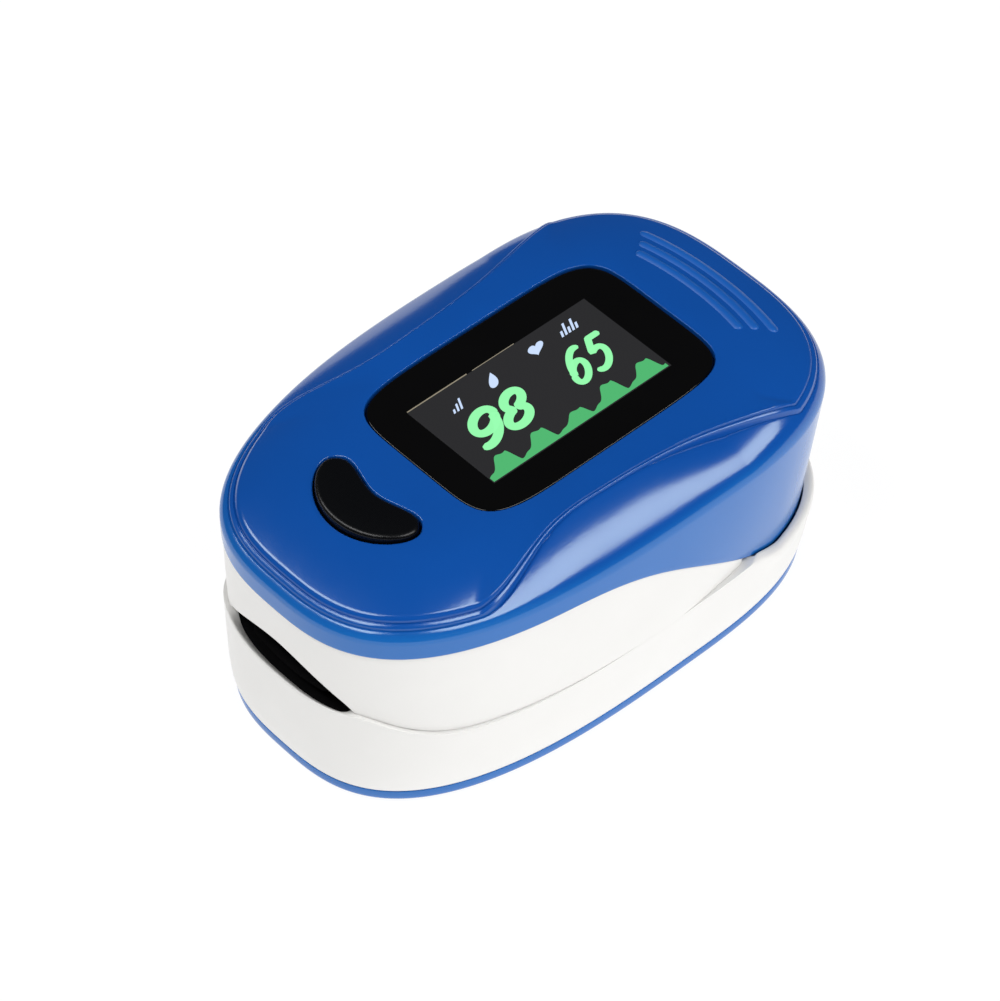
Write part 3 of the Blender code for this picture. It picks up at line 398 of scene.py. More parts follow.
def button_outline(grow, count=120):
    """The button's bean: a superellipse of power 2.6 laid along a parabola whose ends reach towards the display."""
    angle = np.linspace(-math.pi / 2, 1.5 * math.pi, 4001)
    cosine, sine = np.cos(angle), np.sin(angle)
    along = (5.73 + grow) * np.sign(cosine) * np.abs(cosine) ** (2 / 2.6)
    across = (2.36 + grow) * np.sign(sine) * np.abs(sine) ** (2 / 2.6)
    slope = 2 * 0.085 * along
    steep = np.hypot(slope, 1.0)
    return even_steps(along - across * slope / steep, -20.27 + 0.085 * along**2 + across / steep, count)


def inset(ring, distance):
    """A plan ring moved inwards along its normals, by one distance or one for each point."""
    tangent = np.roll(ring, -1, axis=0) - np.roll(ring, 1, axis=0)
    tangent /= np.linalg.norm(tangent, axis=1, keepdims=True)
    inward = np.stack([-tangent[:, 1], tangent[:, 0]], axis=1)
    return ring + inward * np.broadcast_to(distance, len(ring))[:, None]


def raised(ring, height):
    """A plan ring lifted to one height, or to one for each point."""
    return np.concatenate([ring, np.broadcast_to(height, len(ring))[:, None]], axis=1)


def soften(levels, passes, closed=False):
    """Corner cutting along a profile: every step is replaced by its points at a quarter and at three quarters."""
    levels = np.asarray(levels, float)
    for _ in range(passes):
        after = np.roll(levels, -1, axis=0) if closed else levels[1:]
        before = levels if closed else levels[:-1]
        cut = np.stack([0.75 * before + 0.25 * after, 0.25 * before + 0.75 * after], axis=1)
        cut = cut.reshape(-1, *levels.shape[1:])
        levels = cut if closed else np.concatenate([levels[:1], cut, levels[-1:]])
    return levels


class Skin:
    """Points in millimetres and faces that grow into one closed mesh."""

    def __init__(self):
        self.points = []
        self.faces = []
        self.total = 0

    def place(self, points):
        """Adds points and gives back their numbers in the same arrangement."""
        points = np.asarray(points, float)
        shape = points.shape[:-1]
        numbers = np.arange(self.total, self.total + int(np.prod(shape))).reshape(shape)
        self.points.append(points.reshape(-1, 3))
        self.total += numbers.size
        return numbers

    def loft(self, numbers, closed=False):
        """Four-sided faces between rings that follow each other, and from the last to the first if closed."""
        below = numbers if closed else numbers[:-1]
        above = np.roll(numbers, -1, axis=0) if closed else numbers[1:]
        sides = (below, np.roll(below, -1, axis=1), np.roll(above, -1, axis=1), above)
        self.faces += np.stack(sides, axis=-1).reshape(-1, 4).tolist()

    def cap(self, ring, upwards):
        """One flat face on a ring."""
        self.faces.append(ring.tolist() if upwards else ring[::-1].tolist())

    def fill(self, rings, upwards, between=()):
        """Triangles between an outer ring and the rings of its holes, over any points that lie between them:
        constrained Delaunay in plan.
        """
        everything = np.concatenate(self.points)
        numbers = np.concatenate([*rings, np.asarray(between, int)])
        plan = everything[numbers, :2]
        starts = np.cumsum([0] + [len(ring) for ring in rings])
        spans = [np.arange(a, b) for a, b in zip(starts, starts[1:])]
        edges = [np.stack([span, np.roll(span, -1)], axis=1) for span in spans]
        result = delaunay_2d_cdt([Vector(p) for p in plan], np.concatenate(edges).tolist(), [], 0, 1e-6)
        origin = np.array([first[0] for first in result[3]])
        corners = origin[np.array(result[2])]
        middle = plan[corners].mean(axis=1)
        keep = in_outline(middle, plan[: starts[1]])
        for a, b in zip(starts[1:], starts[2:]):
            keep &= ~in_outline(middle, plan[a:b])
        corners = corners[keep]
        sides = plan[corners[:, 1:]] - plan[corners[:, :1]]
        turn = sides[:, 0, 0] * sides[:, 1, 1] - sides[:, 0, 1] * sides[:, 1, 0]
        corners = np.where((turn > 0)[:, None] == upwards, corners, corners[:, ::-1])
        self.faces += numbers[corners].tolist()

    def mesh(self, name):
        mesh = bpy.data.meshes.new(name)
        mesh.from_pydata((np.concatenate(self.points) * MM).tolist(), [], self.faces)
        mesh.update()
        return mesh


def in_outline(points, outline):
    """Which points lie inside a plan outline: an odd number of its sides cross the ray to +X."""
    a, b = outline, np.roll(outline, -1, axis=0)
    x, y = points[:, :1], points[:, 1:]
    straddle = (a[:, 1] > y) != (b[:, 1] > y)
    rise = np.where(b[:, 1] == a[:, 1], 1e-12, b[:, 1] - a[:, 1])
    cross = a[:, 0] + (y - a[:, 1]) * (b[:, 0] - a[:, 0]) / rise
    return (straddle & (x < cross)).sum(axis=1) % 2 == 1


def piece(name, mesh, material, body, nodes=(), sharp=38.0):
    """An object of one mesh at the origin that rides on a body and stands for its CAD nodes."""
    mesh.name = name
    mesh.shade_smooth()
    mesh.set_sharp_from_angle(angle=math.radians(sharp))
    mesh.materials.clear()
    mesh.materials.append(material)
    obj = bpy.data.objects.new(name, mesh)
    bpy.context.scene.collection.objects.link(obj)
    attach(obj, body)
    if nodes:
        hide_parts(*nodes)
    return obj


def solid(levels, name):
    """A mesh lofted through rings and closed by a flat face at each end."""
    skin = Skin()
    numbers = skin.place(np.asarray(levels))
    skin.loft(numbers)
    skin.cap(numbers[0], False)
    skin.cap(numbers[-1], True)
    return skin.mesh(name)


def block(low, high):
    """A block between two corners, as two square rings."""
    (x0, y0, z0), (x1, y1, z1) = low, high
    plan = np.array(((x0, y0), (x1, y0), (x1, y1), (x0, y1)), float)
    return solid([raised(plan, z0), raised(plan, z1)], "block")


def disc(radius, count=40):
    """A circle in plan."""
    angle = np.linspace(0.0, 2 * math.pi, count, endpoint=False)
    return radius * np.stack([np.cos(angle), np.sin(angle)], axis=1)


def post(x, y, low, high, radius):
    """An upright cylinder."""
    ring = disc(radius) + (x, y)
    return solid([raised(ring, low), raised(ring, high)], "post")


def crossbar(low, high, y, z, radius):
    """A cylinder along X."""
    ring = disc(radius)
    ends = [np.stack([np.full(len(ring), x), y + ring[:, 0], z + ring[:, 1]], axis=1) for x in (low, high)]
    return solid(ends, "crossbar")


def shaped(mesh, joined, removed):
    """A mesh with other solids joined to it and then others taken away, by exact Booleans."""
    host = bpy.data.objects.new("host", mesh)
    bpy.context.scene.collection.objects.link(host)
    tools = []
    for operation, meshes in (("UNION", joined), ("DIFFERENCE", removed)):
        for tool_mesh in meshes:
            tool = bpy.data.objects.new("tool", tool_mesh)
            bpy.context.scene.collection.objects.link(tool)
            tools.append(tool)
            modifier = host.modifiers.new("cut", "BOOLEAN")
            modifier.operation = operation
            modifier.object = tool
    graph = bpy.context.evaluated_depsgraph_get()
    result = bpy.data.meshes.new_from_object(host.evaluated_get(graph))
    for obj in [host, *tools]:
        bpy.data.objects.remove(obj)
    return result


def cover_edge_z(y):
    """Lower edge of the blue cover: level at the front, then an S down to the tail that starts slowly."""
    along = np.clip((y + 12.0) / 33.0, 0.0, 1.0)
    return np.maximum(21.3 - 13.5 * smooth(along**1.35), TAIL_EDGE_Z)


def skin_lean(y, z):
    """How far the upper jaw's side leans in below the rim: a little in front, more at the tail."""
    lean = 0.15 + 1.3 * smooth((y - 2.0) / 16.0)
    return lean * np.clip((RIM_Z - z) / 14.0, 0.0, None)


def waist(y):
    """1 at the waist of the raised panel, going to 0 towards both ends of the body, faster in front."""
    front = np.clip((y + 19.0) / 17.5, 0.0, 1.0)
    rear = np.clip((y + 2.0) / 23.0, 0.0, 1.0)
    return smooth(1.0 - (1.0 - front) ** 1.6) * (1.0 - rear**2.4)


def panel_edge_z(y):
    """Height of the panel's edge: level with the panel at the waist, low in front and less low behind."""
    end_z = 25.05 + 0.85 * smooth((y + 5.0) / 20.0)
    return end_z + (PANEL_Z - end_z) * waist(y) ** 0.55


def shoulder_z(distance, y):
    """Height of the shoulder in from the rim: a circle up to the angle of the slope, then the slope, which levels
    out as an exponential does.
    """
    narrow = waist(y)
    radius = 1.25 + np.maximum(0.75 * narrow, 1.35 * smooth((y - 8.0) / 12.0))
    angle = np.radians(31.0 + 4.0 * narrow)
    turn = radius * (1.0 - np.sin(angle))
    knee = np.sqrt(radius**2 - (radius - np.minimum(distance, turn)) ** 2)
    beyond = np.maximum(distance - turn, 0.0)
    reach = SLOPE_REACH - 3.2 * smooth(y / 12.0)
    return RIM_Z + knee + np.tan(angle) * reach * (1.0 - np.exp(-beyond / reach))


def panel_fall(size):
    """Share of the fall from the panel's level middle to its edge: a slow parabola, then a quick one at the lip."""
    slow = np.clip((size - PANEL_LEVEL) / (1.0 - PANEL_LEVEL), 0.0, 1.0)
    quick = np.clip((size - PANEL_LIP) / (1.0 - PANEL_LIP), 0.0, 1.0)
    return 0.94 * slow**2 + 0.06 * quick**2


def seam_z(ring):
    """Height of the seam between the jaws: level along the sides, rising to the corners of the mouth."""
    x, y = np.abs(ring[:, 0]), ring[:, 1]
    rise = smooth((16.5 - x) / (16.5 - MOUTH_HALF_WIDTH))
    return 10.0 + np.where(y < 0, 2.6 * rise, 0.0)


def mouth_swell(ring):
    """1 in the middle of the mouth, 0 at its corners and round the rest of the body."""
    x, y = np.abs(ring[:, 0]), ring[:, 1]
    return np.where(y < 0, np.clip(1.0 - (x / MOUTH_HALF_WIDTH) ** 2, 0.0, None), 0.0)


def panel_edge():
    """The raised panel's edge: its plan ring and the height of each of its points."""
    rim = rim_outline()
    y = rim[:, 1]
    return inset(rim, PANEL_INSET + WAIST_DEPTH * waist(y)), panel_edge_z(y)


def panel_height(points):
    """Height of the panel at plan points, from how far each lies between the panel's middle and its edge."""
    ring, edge_z = panel_edge()
    out = ring - PANEL_MIDDLE
    angle = np.arctan2(out[:, 1], out[:, 0])
    order = np.argsort(angle)
    away = points - PANEL_MIDDLE
    turn = np.arctan2(away[:, 1], away[:, 0])
    reach = np.interp(turn, angle[order], np.hypot(*out.T)[order], period=2 * math.pi)
    foot = np.interp(turn, angle[order], edge_z[order], period=2 * math.pi)
    return PANEL_Z - (PANEL_Z - foot) * panel_fall(np.hypot(*away.T) / reach)


def on_panel(outline, drop=0.0):
    """A plan outline laid on the panel, or a drop below it."""
    return raised(outline, panel_height(outline) - drop)


def top_cover(material):
    """The blue cover: rings of the body outline, each at its own inset and height, carried from the ceiling down
    the inner wall, round the skirt's edge, up the side, over the rounded shoulder, down into a fine groove, over a
    bead and up out of a second groove onto the panel. The panel then rises to a level middle and is filled round
    the window's recess and the button's hole.
    """
    rim = rim_outline()
    y = rim[:, 1]
    edge = cover_edge_z(y)
    middle = (edge + RIM_Z) / 2
    narrow = waist(y)
    panel_inset = PANEL_INSET + WAIST_DEPTH * narrow
    edge_z = panel_edge_z(y)
    inner = [
        (panel_inset + 2.9, CEILING_Z),
        (2.3, 24.2),
        (COVER_WALL, 23.1),
        (skin_lean(y, middle) + COVER_WALL, middle),
        (skin_lean(y, edge) + COVER_WALL, edge + 0.1),
        (skin_lean(y, edge) + COVER_WALL - 0.2, edge),
        (skin_lean(y, edge) + 0.1, edge),
    ]
    outer = [(skin_lean(y, edge + 0.1), edge + 0.1)]
    for part in (0.2, 0.45, 0.7, 0.9):
        level = edge + 0.1 + (RIM_Z - edge - 0.1) * part
        outer.append((skin_lean(y, level), level))
    slope = 0.6 - 0.25 * narrow
    bead = 0.36 - 0.22 * narrow
    groove = 0.2 - 0.08 * narrow
    dip = (0.16 - 0.06 * narrow) * (1.0 - 0.85 * smooth((y - 16.0) / 8.0))
    bead_high = edge_z - 0.2 + 0.08 * narrow
    bead_low = bead_high - bead * slope
    foot_inset = panel_inset - bead - 2.0 * groove
    foot_z = shoulder_z(foot_inset, y)
    ceiling = np.maximum(foot_z, bead_low - 0.02)
    for share in np.linspace(0.0, 1.0, 14)[:-1] ** 2.2:
        outer.append((foot_inset * share, np.minimum(shoulder_z(foot_inset * share, y), ceiling)))
    outer += [
        (foot_inset, np.minimum(foot_z, bead_low)),
        (panel_inset - bead - 1.5 * groove, np.minimum(foot_z, bead_low) - dip),
        (panel_inset - bead - groove, bead_low - 0.02),
        (panel_inset - 0.65 * bead - groove, bead_low + 0.35 * bead * slope),
        (panel_inset - 0.35 * bead - groove, bead_high - 0.35 * bead * slope),
        (panel_inset - groove, bead_high),
        (panel_inset - 0.5 * groove, bead_high - dip),
        (panel_inset - 0.01, edge_z - 0.12),
        (panel_inset + 0.03, edge_z - 0.02),
    ]
    levels = soften([raised(inset(rim, d), h) for d, h in inner + outer], 2)
    ring = inset(rim, panel_inset + 0.05)
    panel = []
    for size in 1.0 - (1.0 - PANEL_FILL) * np.linspace(0.0, 1.0, 16) ** 1.5:
        height = PANEL_Z - (PANEL_Z - edge_z) * panel_fall(size)
        panel.append(raised(PANEL_MIDDLE + (ring - PANEL_MIDDLE) * size, height))
    skin = Skin()
    shell = skin.place(np.concatenate([levels, panel]))
    skin.loft(shell)
    lip = 0.16
    recess = soften([
        on_panel(window_outline(GAP + lip)),
        on_panel(window_outline(GAP), 0.02),
        on_panel(window_outline(GAP), 2 * lip),
    ], 2)
    recess = skin.place(np.concatenate([recess, [
        raised(window_outline(GAP), 26.5),
        raised(window_outline(-1.8), 26.5),
        raised(window_outline(-1.8), CEILING_Z),
    ]]))
    hole = soften([
        on_panel(button_outline(GAP + 0.3)),
        on_panel(button_outline(GAP), 0.04),
        on_panel(button_outline(GAP), 0.5),
    ], 2)
    hole = skin.place(np.concatenate([hole, [raised(button_outline(GAP), CEILING_Z)]]))
    skin.loft(recess)
    skin.loft(hole)
    across, along = np.meshgrid(np.arange(-15.6, 15.7, 1.2), np.arange(-30.0, 31.0, 1.2))
    field = np.stack([across, along], axis=-1).reshape(-1, 2)
    clear = in_outline(field, inset(panel[-1][:, :2], 0.5))
    clear &= ~in_outline(field, window_outline(GAP + lip + 0.5)) & ~in_outline(field, button_outline(1.1))
    between = skin.place(on_panel(field[clear]))
    skin.fill((shell[-1], recess[0], hole[0]), True, between)
    skin.fill((shell[0], recess[-1], hole[-1]), False)
    piece("cover_shell", skin.mesh("cover_shell"), material, "upper_jaw", ["top_cover"])
    tubes = []
    for x in (-BOSS_X, BOSS_X):
        for y in BOSS_YS:
            outline, bore = disc(1.8) + (x, y), disc(SCREW_HOLE) + (x, y)
            tubes.append([raised(outline, 20.6), raised(outline, 25.4), raised(bore, 25.4), raised(bore, 20.6)])
    skin = Skin()
    for tube in tubes:
        skin.loft(skin.place(tube), closed=True)
    piece("cover_bosses", skin.mesh("cover_bosses"), material, "upper_jaw")


def grip_ribs(material):
    """Three raised ribs behind the window: each a parabola in plan that carries a cosine hump, whose width
    and height shrink to nothing at both ends as the square root of the distance left.
    """
    skin = Skin()
    for half_length, end_y, bulge in ((9.5, 25.5, 1.2), (8.25, 24.15, 1.0), (7.3, 22.85, 0.75)):
        t = np.sin(np.linspace(-math.pi / 2, math.pi / 2, 72))
        x = half_length * t
        y = end_y + bulge * (1.0 - t**2)
        taper = np.sqrt(np.clip(1.0 - ((np.abs(t) - 0.93) / 0.07).clip(0.0) ** 2, 0.0004, 1.0))
        slope = -2.0 * bulge * t / half_length
        side = np.stack([-slope, np.ones_like(t)], axis=1) / np.hypot(slope, 1.0)[:, None]
        across = np.linspace(-1.0, 1.0, 13)
        reach = 0.52 * taper[:, None] * across
        plan = np.stack([x, y], axis=1)[:, None] + side[:, None] * reach[..., None]
        ground = panel_height(plan.reshape(-1, 2)).reshape(plan.shape[:2])
        hump = 0.2 * taper[:, None] * np.cos(across * math.pi / 2) - 0.005
        top = np.concatenate([plan, (ground + hump)[..., None]], axis=2)
        under = np.concatenate([plan[:, ::-1], (ground - 0.25)[:, ::-1, None]], axis=2)
        numbers = skin.place(np.concatenate([under, top], axis=1))
        skin.loft(numbers)
        skin.faces.append(numbers[0][::-1].tolist())
        skin.faces.append(numbers[-1].tolist())
    piece("cover_grip_ribs", skin.mesh("cover_grip_ribs"), material, "upper_jaw", sharp=60.0)


def upper_housing(material):
    """The white upper shell: rings of the body outline from the roof's underside down the inner wall, round the
    lower edge, up the band that shows and in under the cover, with hinge lugs joined and holes taken out.
    """
    rim = rim_outline()
    y = rim[:, 1]
    swell = mouth_swell(rim)
    low = seam_z(rim) + SEAM_GAP + MOUTH_ARCH * swell
    low = low + (CUP_EDGE_Z - low) * smooth((y - BAND_END_Y - 0.3) / 2.5)
    ledge = np.maximum(cover_edge_z(y) - 0.04, low + 0.15)
    upstand = np.maximum(ROOF_TOP_Z, ledge + 0.1)
    band = BAND_INSET + (CUP_INSET - 0.3 - BAND_INSET) * smooth((y - BAND_END_Y + 1.4) / 2.0)
    inner = CUP_INSET + CUP_WALL - 0.8 * smooth((-y - 18.0) / 6.0)
    edge_round = 0.02 + 0.2 * smooth(4.0 * swell)
    round_z = np.minimum(low + edge_round, (low + ledge) / 2)
    levels = [
        (skin_lean(y, ROOF_Z) + inner, ROOF_Z),
        (skin_lean(y, low) + inner, low + 0.55),
        (skin_lean(y, low) + inner - 0.15, low + 0.02),
        (skin_lean(y, low) + band + edge_round, low),
        (skin_lean(y, round_z) + band, round_z),
        (skin_lean(y, (round_z + ledge) / 2) + band, (round_z + ledge) / 2),
        (skin_lean(y, ledge) + band, ledge - 0.02),
        (skin_lean(y, ledge) + band + 0.1, ledge),
        (skin_lean(y, ledge) + CUP_INSET - 0.05, ledge),
        (skin_lean(y, ledge) + CUP_INSET, ledge + 0.03),
        (skin_lean(y, upstand) + CUP_INSET, upstand),
        (skin_lean(y, upstand) + CUP_INSET + 0.7, upstand),
        (skin_lean(y, ROOF_TOP_Z) + CUP_INSET + 0.8, ROOF_TOP_Z),
    ]
    rings = [raised(inset(rim, distance), height) for distance, height in levels]
    shell = solid(np.concatenate([soften(rings[:8], 2), rings[8:]]), "upper_shell")
    hinge_y, hinge_z = HINGE
    lugs = []
    for x in (-14.9, 13.7):
        lug = block((x, hinge_y - 2.2, hinge_z - 2.2), (x + 1.2, hinge_y + 2.2, ROOF_Z + 0.4))
        lugs.append(shaped(lug, [], [crossbar(x - 1.0, x + 2.2, hinge_y, hinge_z, 1.3)]))
    holes = [
        block((-1.7, FLEX_Y - 0.6, ROOF_Z - 1.0), (1.7, FLEX_Y + 0.6, ROOF_TOP_Z + 1.0)),
        block((-1.3, SENSOR_Y + 2.5, ROOF_Z - 1.0), (1.3, SENSOR_Y + 3.6, ROOF_TOP_Z + 1.0)),
    ]
    holes += [post(x, y, ROOF_Z - 1.0, ROOF_TOP_Z + 1.0, SCREW_HOLE) for x in (-BOSS_X, BOSS_X) for y in BOSS_YS]
    mesh = shaped(shell, lugs, holes)
    piece("upper_shell", mesh, material, "upper_jaw", ["upper_housing"])


def tray_lip():
    """The tray's lip: its plan ring, the height of each point and how far each lies within the mouth. Along the
    sides it follows the seam, and behind that the cover's edge.
    """
    lip = body_outline(-30.6, 31.3, 19.4)
    swell = mouth_swell(lip)
    y = lip[:, 1]
    lip_z = seam_z(lip) - MOUTH_DIP * swell
    return lip, np.where(y > 0.0, np.minimum(lip_z, cover_edge_z(y) + 0.3), lip_z), swell


def lower_housing(material):
    """The white tray: a closed profile of wall and lip carried round the body outline, which leans out as it rises,
    with four screw bosses joined and the rail's notch taken out. In the mouth the lip slopes down inwards. Towards
    the rear it reaches in under the upper shell's band, and then rounds over, lower, up to the cover's tail.
    """
    foot = body_outline(-30.3, 30.3, 18.6)
    middle = body_outline(-30.6, 30.8, 19.1)
    lip, lip_z, swell = tray_lip()
    chamfer = LIP_CHAMFER * smooth(3.0 * swell)
    rim = rim_outline()
    y = rim[:, 1]
    tail = smooth((y - BAND_END_Y + 0.6) / 1.6)
    edge_round = 0.03 + 0.16 * smooth(4.0 * swell) + 0.4 * tail
    lean = skin_lean(y, lip_z)
    under_band = np.maximum(TRAY_WALL + 0.3, lean + 0.6)
    reach = under_band + (lean - TAIL_GAP - under_band) * smooth((y - BAND_END_Y + 0.3) / 0.8)
    wall = TRAY_WALL - 0.6 * tail
    ahead = (y < 0.0)[:, None]
    shelf = np.where(ahead, inset(lip, TRAY_WALL), inset(rim, reach))
    shelf_round = np.where(ahead, inset(lip, TRAY_WALL - 0.12), inset(rim, reach - 0.05))
    rings = [
        raised(inset(foot, 0.12), 1.6),
        raised(foot, 1.72),
        raised(inset(foot, -0.24), 2.6),
        raised(middle, 4.5),
        raised((middle + lip) / 2, (4.5 + lip_z) / 2),
        raised(lip, lip_z - 0.6 - 0.7 * tail),
        raised(lip, lip_z - edge_round),
        raised(inset(lip, edge_round), lip_z),
        raised(shelf_round, lip_z - 0.9 * chamfer),
        raised(shelf, lip_z - 0.08 - chamfer),
        raised(shelf, lip_z - 0.7 - chamfer),
        raised(inset(lip, wall), lip_z - 1.5 - chamfer),
        raised(inset(middle, wall), 4.5),
        raised(inset(foot, wall), 1.6),
    ]
    skin = Skin()
    skin.loft(skin.place(soften(rings, 2, closed=True)), closed=True)
    bosses = []
    for x in (-18.1, 13.8):
        bosses += [block((x, y - 1.9, 4.0), (x + 4.3, y + 1.9, 9.0)) for y in EAR_YS]
    holes = [post(x, y, 2.7, 8.4, SCREW_HOLE) for x in (-EAR_X, EAR_X) for y in EAR_YS]
    holes.append(block((-0.9, 26.0, 1.0), (0.9, 33.0, 3.6)))
    mesh = shaped(skin.mesh("lower_tray"), bosses, holes)
    piece("lower_tray", mesh, material, "lower_jaw", ["lower_housing"])


def mouth_lining(material):
    """The rubber lining behind the lower lip: one closed profile of inset and lift, carried along the foot of the
    lip's inner slope within the mouth, on to the pad.
    """
    lip, lip_z, swell = tray_lip()
    foot_z = lip_z - LIP_CHAMFER * smooth(3.0 * swell)
    profile = ((0.95, -0.05), (1.0, 0.1), (1.2, 0.12), (2.7, 0.2), (2.7, -0.4), (1.2, -0.4))
    rings = np.stack([raised(inset(lip, distance), foot_z - 0.15 + lift) for distance, lift in profile], axis=1)
    start = len(lip) // 2
    inside = np.roll(swell, start) > 0.0
    skin = Skin()
    numbers = skin.place(np.roll(rings, start, axis=0)[inside])
    skin.loft(numbers)
    skin.cap(numbers[0], False)
    skin.cap(numbers[-1], True)
    piece("mouth_lining", skin.mesh("mouth_lining"), material, "lower_jaw")


def battery_door(material):
    """The blue sliding floor: rings of the body outline round a rounded lower edge, a guide rail and grooves."""
    plan = body_outline(-30.25, 30.25, 18.55)
    profile = ((0.75, 0.0), (0.42, 0.03), (0.12, 0.3), (0.0, 0.7), (0.0, 1.44), (0.06, 1.54), (0.4, 1.54))
    rings = soften([raised(inset(plan, distance), height) for distance, height in profile], 2)
    rail = block((-0.6, -21.0, 1.0), (0.6, 21.0, 3.3))
    grooves = []
    for y in (20.0, 21.8, 23.6):
        t = np.linspace(0.0, 2 * math.pi, 40, endpoint=False)
        slot = np.stack([5.0 * np.sign(np.cos(t)) * np.abs(np.cos(t)) ** 0.4, y + 0.4 * np.sin(t)], axis=1)
        wide = np.stack([slot[:, 0] * 1.03, y + (slot[:, 1] - y) * 1.5], axis=1)
        grooves.append(solid([raised(wide, -0.2), raised(slot, 0.3)], "groove"))
    mesh = shaped(solid(rings, "battery_lid"), [rail], grooves)
    piece("battery_lid", mesh, material, "door", ["battery_door"])


def power_button(material):
    """The bean-shaped button: its outline grown or shrunk through a profile of flange, side, round edge and a
    slightly crowned top.
    """
    profile = [(0.8, 24.5), (0.9, 24.6), (0.9, 25.2), (0.8, 25.3), (0.16, 25.3), (0.14, 25.5), (0.12, 27.55)]
    rounding = np.linspace(0.0, math.pi / 2, 9)[1:]
    profile += [(0.12 - 0.55 * (1.0 - math.cos(a)), 27.55 + 0.4 * math.sin(a)) for a in rounding]
    profile += [(-0.43 - step, 27.95 + 0.1 * (1.0 - (1.0 - step / 1.6) ** 2)) for step in np.linspace(0.2, 1.6, 8)]
    mesh = solid([raised(button_outline(grow), height) for grow, height in profile], "button_cap")
    piece("button_cap", mesh, material, "button", ["power_button"])
    stem = [raised(disc(radius) + (0.0, -20.0), z) for radius, z in ((1.0, 24.2), (1.2, 24.35), (1.2, 24.7))]
    piece("button_post", solid(stem, "button_post"), material, "button")


def display_window(material):
    """The black window: its outline carried up a side and round a small polished edge to a level top."""
    profile = ((0.1, 26.8), (0.16, 26.86), (0.16, 27.3), (0.13, 27.44), (0.02, WINDOW_TOP_Z), (-0.3, WINDOW_TOP_Z))
    levels = soften([raised(window_outline(grow), height) for grow, height in profile], 2)
    mesh = solid(levels, "display_glass")
    piece("display_glass", mesh, material, "upper_jaw", ["display_window"])


def plate(outline, low, high):
    """A thin flat plate of a plan outline."""
    area = (outline[:, 0] * np.roll(outline[:, 1], -1) - outline[:, 1] * np.roll(outline[:, 0], -1)).sum()
    ordered = outline if area > 0 else outline[::-1]
    return [raised(ordered, low), raised(ordered, high)]


def stroke(path, width, low, high):
    """A flat ribbon of one width along a path in plan, with round ends: its outline is the path moved to both
    sides, with the half width falling to nothing at both ends along a quarter circle.
    """
    length = np.concatenate([[0.0], np.cumsum(np.hypot(*np.diff(path, axis=0).T))])
    even = np.linspace(0.0, length[-1], 90)
    path = np.stack([np.interp(even, length, path[:, k]) for k in (0, 1)], axis=1)
    tangent = np.gradient(path, axis=0)
    tangent /= np.linalg.norm(tangent, axis=1, keepdims=True)
    side = np.stack([-tangent[:, 1], tangent[:, 0]], axis=1)
    left = np.minimum(even, even[-1] - even) / (width / 2)
    half = width / 2 * np.sqrt(np.clip(1.0 - (1.0 - np.minimum(left, 1.0)) ** 2, 0.002, 1.0))
    right_side, left_side = path - side * half[:, None], path + side * half[:, None]
    upper = [np.append(p, np.full((len(p), 1), high), axis=1) for p in (right_side, left_side)]
    lower = [np.append(p, np.full((len(p), 1), low), axis=1) for p in (left_side, right_side)]
    return np.stack([*upper, *lower], axis=1)


def arc(centre, radii, start, stop, count=60):
    """Part of an ellipse between two angles in degrees."""
    angle = np.radians(np.linspace(start, stop, count))
    return np.stack([centre[0] + radii[0] * np.cos(angle), centre[1] + radii[1] * np.sin(angle)], axis=1)


def digit_paths(digit):
    """The middle lines of a digit in a box 0 to 1 wide and 0 to 1.6 high, from arcs and straight lines."""
    if digit == 8:
        return [arc((0.5, 1.21), (0.42, 0.39), -90, 270), arc((0.5, 0.4), (0.5, 0.4), 90, 450)]
    if digit == 9:
        return [np.concatenate([arc((0.5, 1.1), (0.5, 0.5), 0, 360), arc((0.42, 0.72), (0.58, 0.72), 30, -125)])]
    if digit == 6:
        return [np.concatenate([arc((0.5, 0.5), (0.5, 0.5), 180, 540), arc((0.58, 0.88), (0.58, 0.72), 210, 55)])]
    bowl = arc((0.42, 0.52), (0.56, 0.52), 128, -140)
    return [np.concatenate([np.array(((0.95, 1.6), (0.12, 1.6))), bowl[:1] + (-0.03, 0.1), bowl])]


def on_screen(points, corner, width, height):
    """Places a drawing on the screen: it reads along +Y, its top is towards -X, and it leans forward."""
    across, up = points[:, 0] * width, points[:, 1] * height
    return np.stack([corner[0] - up, corner[1] + across + up * NUMBER_LEAN], axis=1)


def screen_numbers(material):
    """Two plain numbers on the display, as flat strokes with round ends."""
    skin = Skin()
    layout = (
        (9, (2.55, -6.6), 2.75, 2.45, 0.95),
        (8, (2.55, -2.75), 2.6, 2.45, 0.95),
        (6, (2.4, 5.95), 1.75, 2.5, 0.72),
        (5, (2.4, 8.7), 1.75, 2.5, 0.72),
    )
    for digit, corner, width, height, thick in layout:
        for layer, path in enumerate(digit_paths(digit)):
            lift = 0.003 * layer
            placed = on_screen(path, corner, width, height)
            numbers = skin.place(stroke(placed, thick, SCREEN_Z - 0.01, SIGN_Z + lift))
            skin.loft(numbers)
            skin.cap(numbers[0], False)
            skin.cap(numbers[-1], True)
    piece("screen_numbers", skin.mesh("screen_numbers"), material, "upper_jaw", sharp=30.0)


